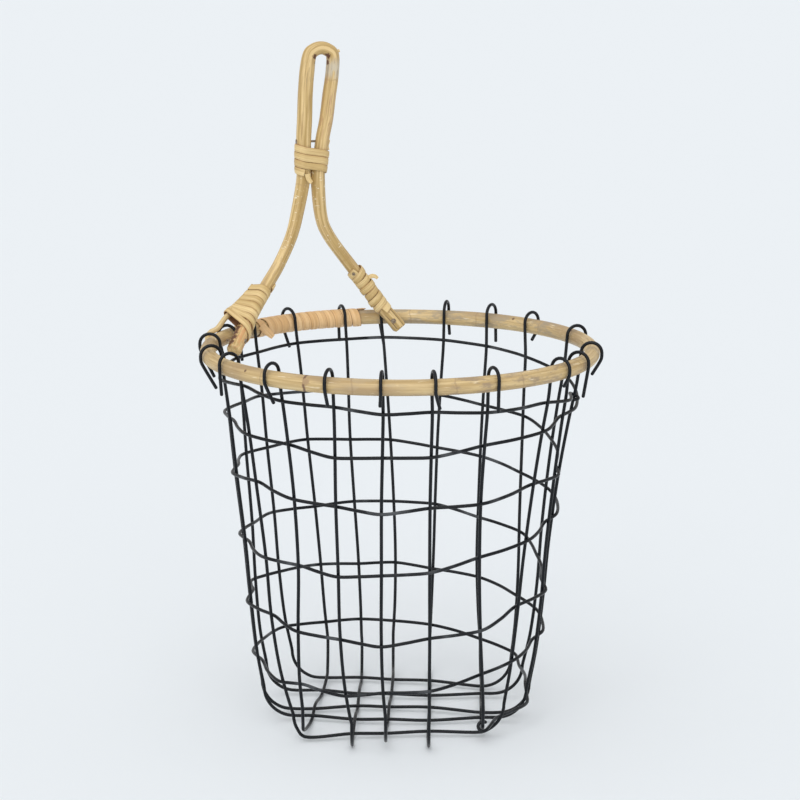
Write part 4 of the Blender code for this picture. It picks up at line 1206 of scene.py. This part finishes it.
def tail_piece(name, root, start, steps, width, finish):
    """A loose end of strip, from its start off the root on by steps, tapering to a split point."""
    places = [root + Vector(start)]
    for step in steps:
        places.append(places[-1] + Vector(step))
    line = smooth_path(places, 6)
    sections = []
    for number, place in enumerate(line):
        sections.append((place, square_to(run_past(line, number).normalized(), TAIL_FACING)))
    strip_piece(name, sections, width, finish, "rattan_strip", thickness=TAIL_THICKNESS, width_at=tapering)


def make_tails(pale, tan):
    """The strips' loose ends."""
    left, right = Leg(-1), Leg(1)
    for name, root, tail, finish in (
        ("left_lashing_tail", rim_surface(*LEFT_TAIL[0]), LEFT_TAIL, tan),
        ("right_lashing_tail", right.at(RIGHT_TAIL[0])[0], RIGHT_TAIL, pale),
        ("waist_tail_up", right.at(WAIST_UP_TAIL[0])[0], WAIST_UP_TAIL, pale),
        ("waist_tail_down", left.at(WAIST_DOWN_TAIL[0])[0], WAIST_DOWN_TAIL, pale),
    ):
        tail_piece(name, root, *tail[1:], finish)


def make_twig_stub(bark):
    """The cut stub of a twig on the loop's right shoulder."""
    place = Leg(1).at(TWIG_PLACE)[0]
    way = (pair_direction() + UP * TWIG_LIFT_SHARE).normalized()
    line = [place + way * (HANDLE_POLE_RADIUS - TWIG_SUNK + TWIG_STEP * step) for step in range(5)]
    stub = pole_piece("loop_twig_stub", carried_frames(line, UP), lambda *_: TWIG_RADIUS, sides=14)
    dress(stub, bark, "rattan_pole", "rim_assembly")


def uneven(waves, start):
    """A strip's width along it as a share, with so many slow waves from this start, and quick ones."""
    def width_at(share):
        slow = SLOW_WAVE_SHARE * math.sin(share * waves * TURN + start)
        return 1 + slow + QUICK_WAVE_SHARE * math.sin(share * QUICK_WAVES * TURN)

    return width_at


def make_wrappings():
    pale = strip_finish("cream_rattan_strip", CREAM_STRIP, CREAM_MOTTLE_AND_EDGE_SHADE, LASHING_WIDTH)
    tan = strip_finish("tan_rattan_strip", TAN_STRIP, TAN_MOTTLE_AND_EDGE_SHADE, SPLICE_WIDTH)
    make_peg()
    for name, sections, width, node, width_at in (
        ("waist_wrapping", waist_sections(), LASHING_WIDTH, "waist_lashing", uneven(5, 1)),
        ("left_leg_wrapping", left_sections(), LASHING_WIDTH, "left_leg_lashing", None),
        ("right_leg_wrapping", right_sections(), RIGHT_WIDTH, "right_leg_lashing", uneven(9, 2)),
    ):
        strip_piece(name, sections, width, pale, "rattan_strip", node, width_at=width_at)
    strip_piece("splice_wrapping", splice_sections(), SPLICE_WIDTH, tan, "splice_strip", "splice_binding")
    make_tails(pale, tan)
    make_twig_stub(pale)


def refinish_nails():
    steel = steel_finish()
    for node in ("waist_nail", "left_leg_nail", "right_leg_nail", "left_lashing_tack", "right_lashing_tack"):
        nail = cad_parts[node]
        nail.data.materials.clear()
        nail.data.materials.append(steel)


# Studio


def make_floor():
    work = bmesh.new()
    bmesh.ops.create_grid(work, x_segments=1, y_segments=1, size=FLOOR_REACH)
    mesh = bpy.data.meshes.new("studio_floor")
    work.to_mesh(mesh)
    work.free()
    floor = add_object("studio_floor", mesh)
    material = bpy.data.materials.new("studio_floor")
    material.use_nodes = True
    surface = material.node_tree.nodes["Principled BSDF"]
    surface.inputs["Base Color"].default_value = (*FLOOR_COLOUR, 1)
    surface.inputs["Roughness"].default_value = 1.0
    surface.inputs["Specular IOR Level"].default_value = 0.0
    mesh.materials.append(material)


def light_studio():
    world = bpy.data.worlds.new("studio")
    bpy.context.scene.world = world
    world.use_nodes = True
    background = world.node_tree.nodes["Background"]
    background.inputs["Color"].default_value = (1.0, 1.0, 1.0, 1)
    background.inputs["Strength"].default_value = WORLD_STRENGTH
    for name, energy, spread, tilt, roll in SOFT_LIGHTS:
        lamp = bpy.data.lights.new(name, "SUN")
        lamp.energy = energy
        lamp.angle = math.radians(spread)
        add_object(name, lamp).rotation_euler = (math.radians(tilt), math.radians(roll), 0)


def set_camera():
    lens = bpy.data.cameras.new("photo_camera")
    lens.lens = CAMERA_LENS
    lens.sensor_width = CAMERA_SENSOR
    camera = add_object("photo_camera", lens)
    camera.location = CAMERA_PLACE
    camera.rotation_euler = (math.radians(CAMERA_TILT), 0, 0)
    bpy.context.scene.camera = camera
    bpy.context.scene.view_settings.view_transform = "Standard"


make_cage()
make_rim()
make_handle()
make_wrappings()
refinish_nails()
make_floor()
light_studio()
set_camera()
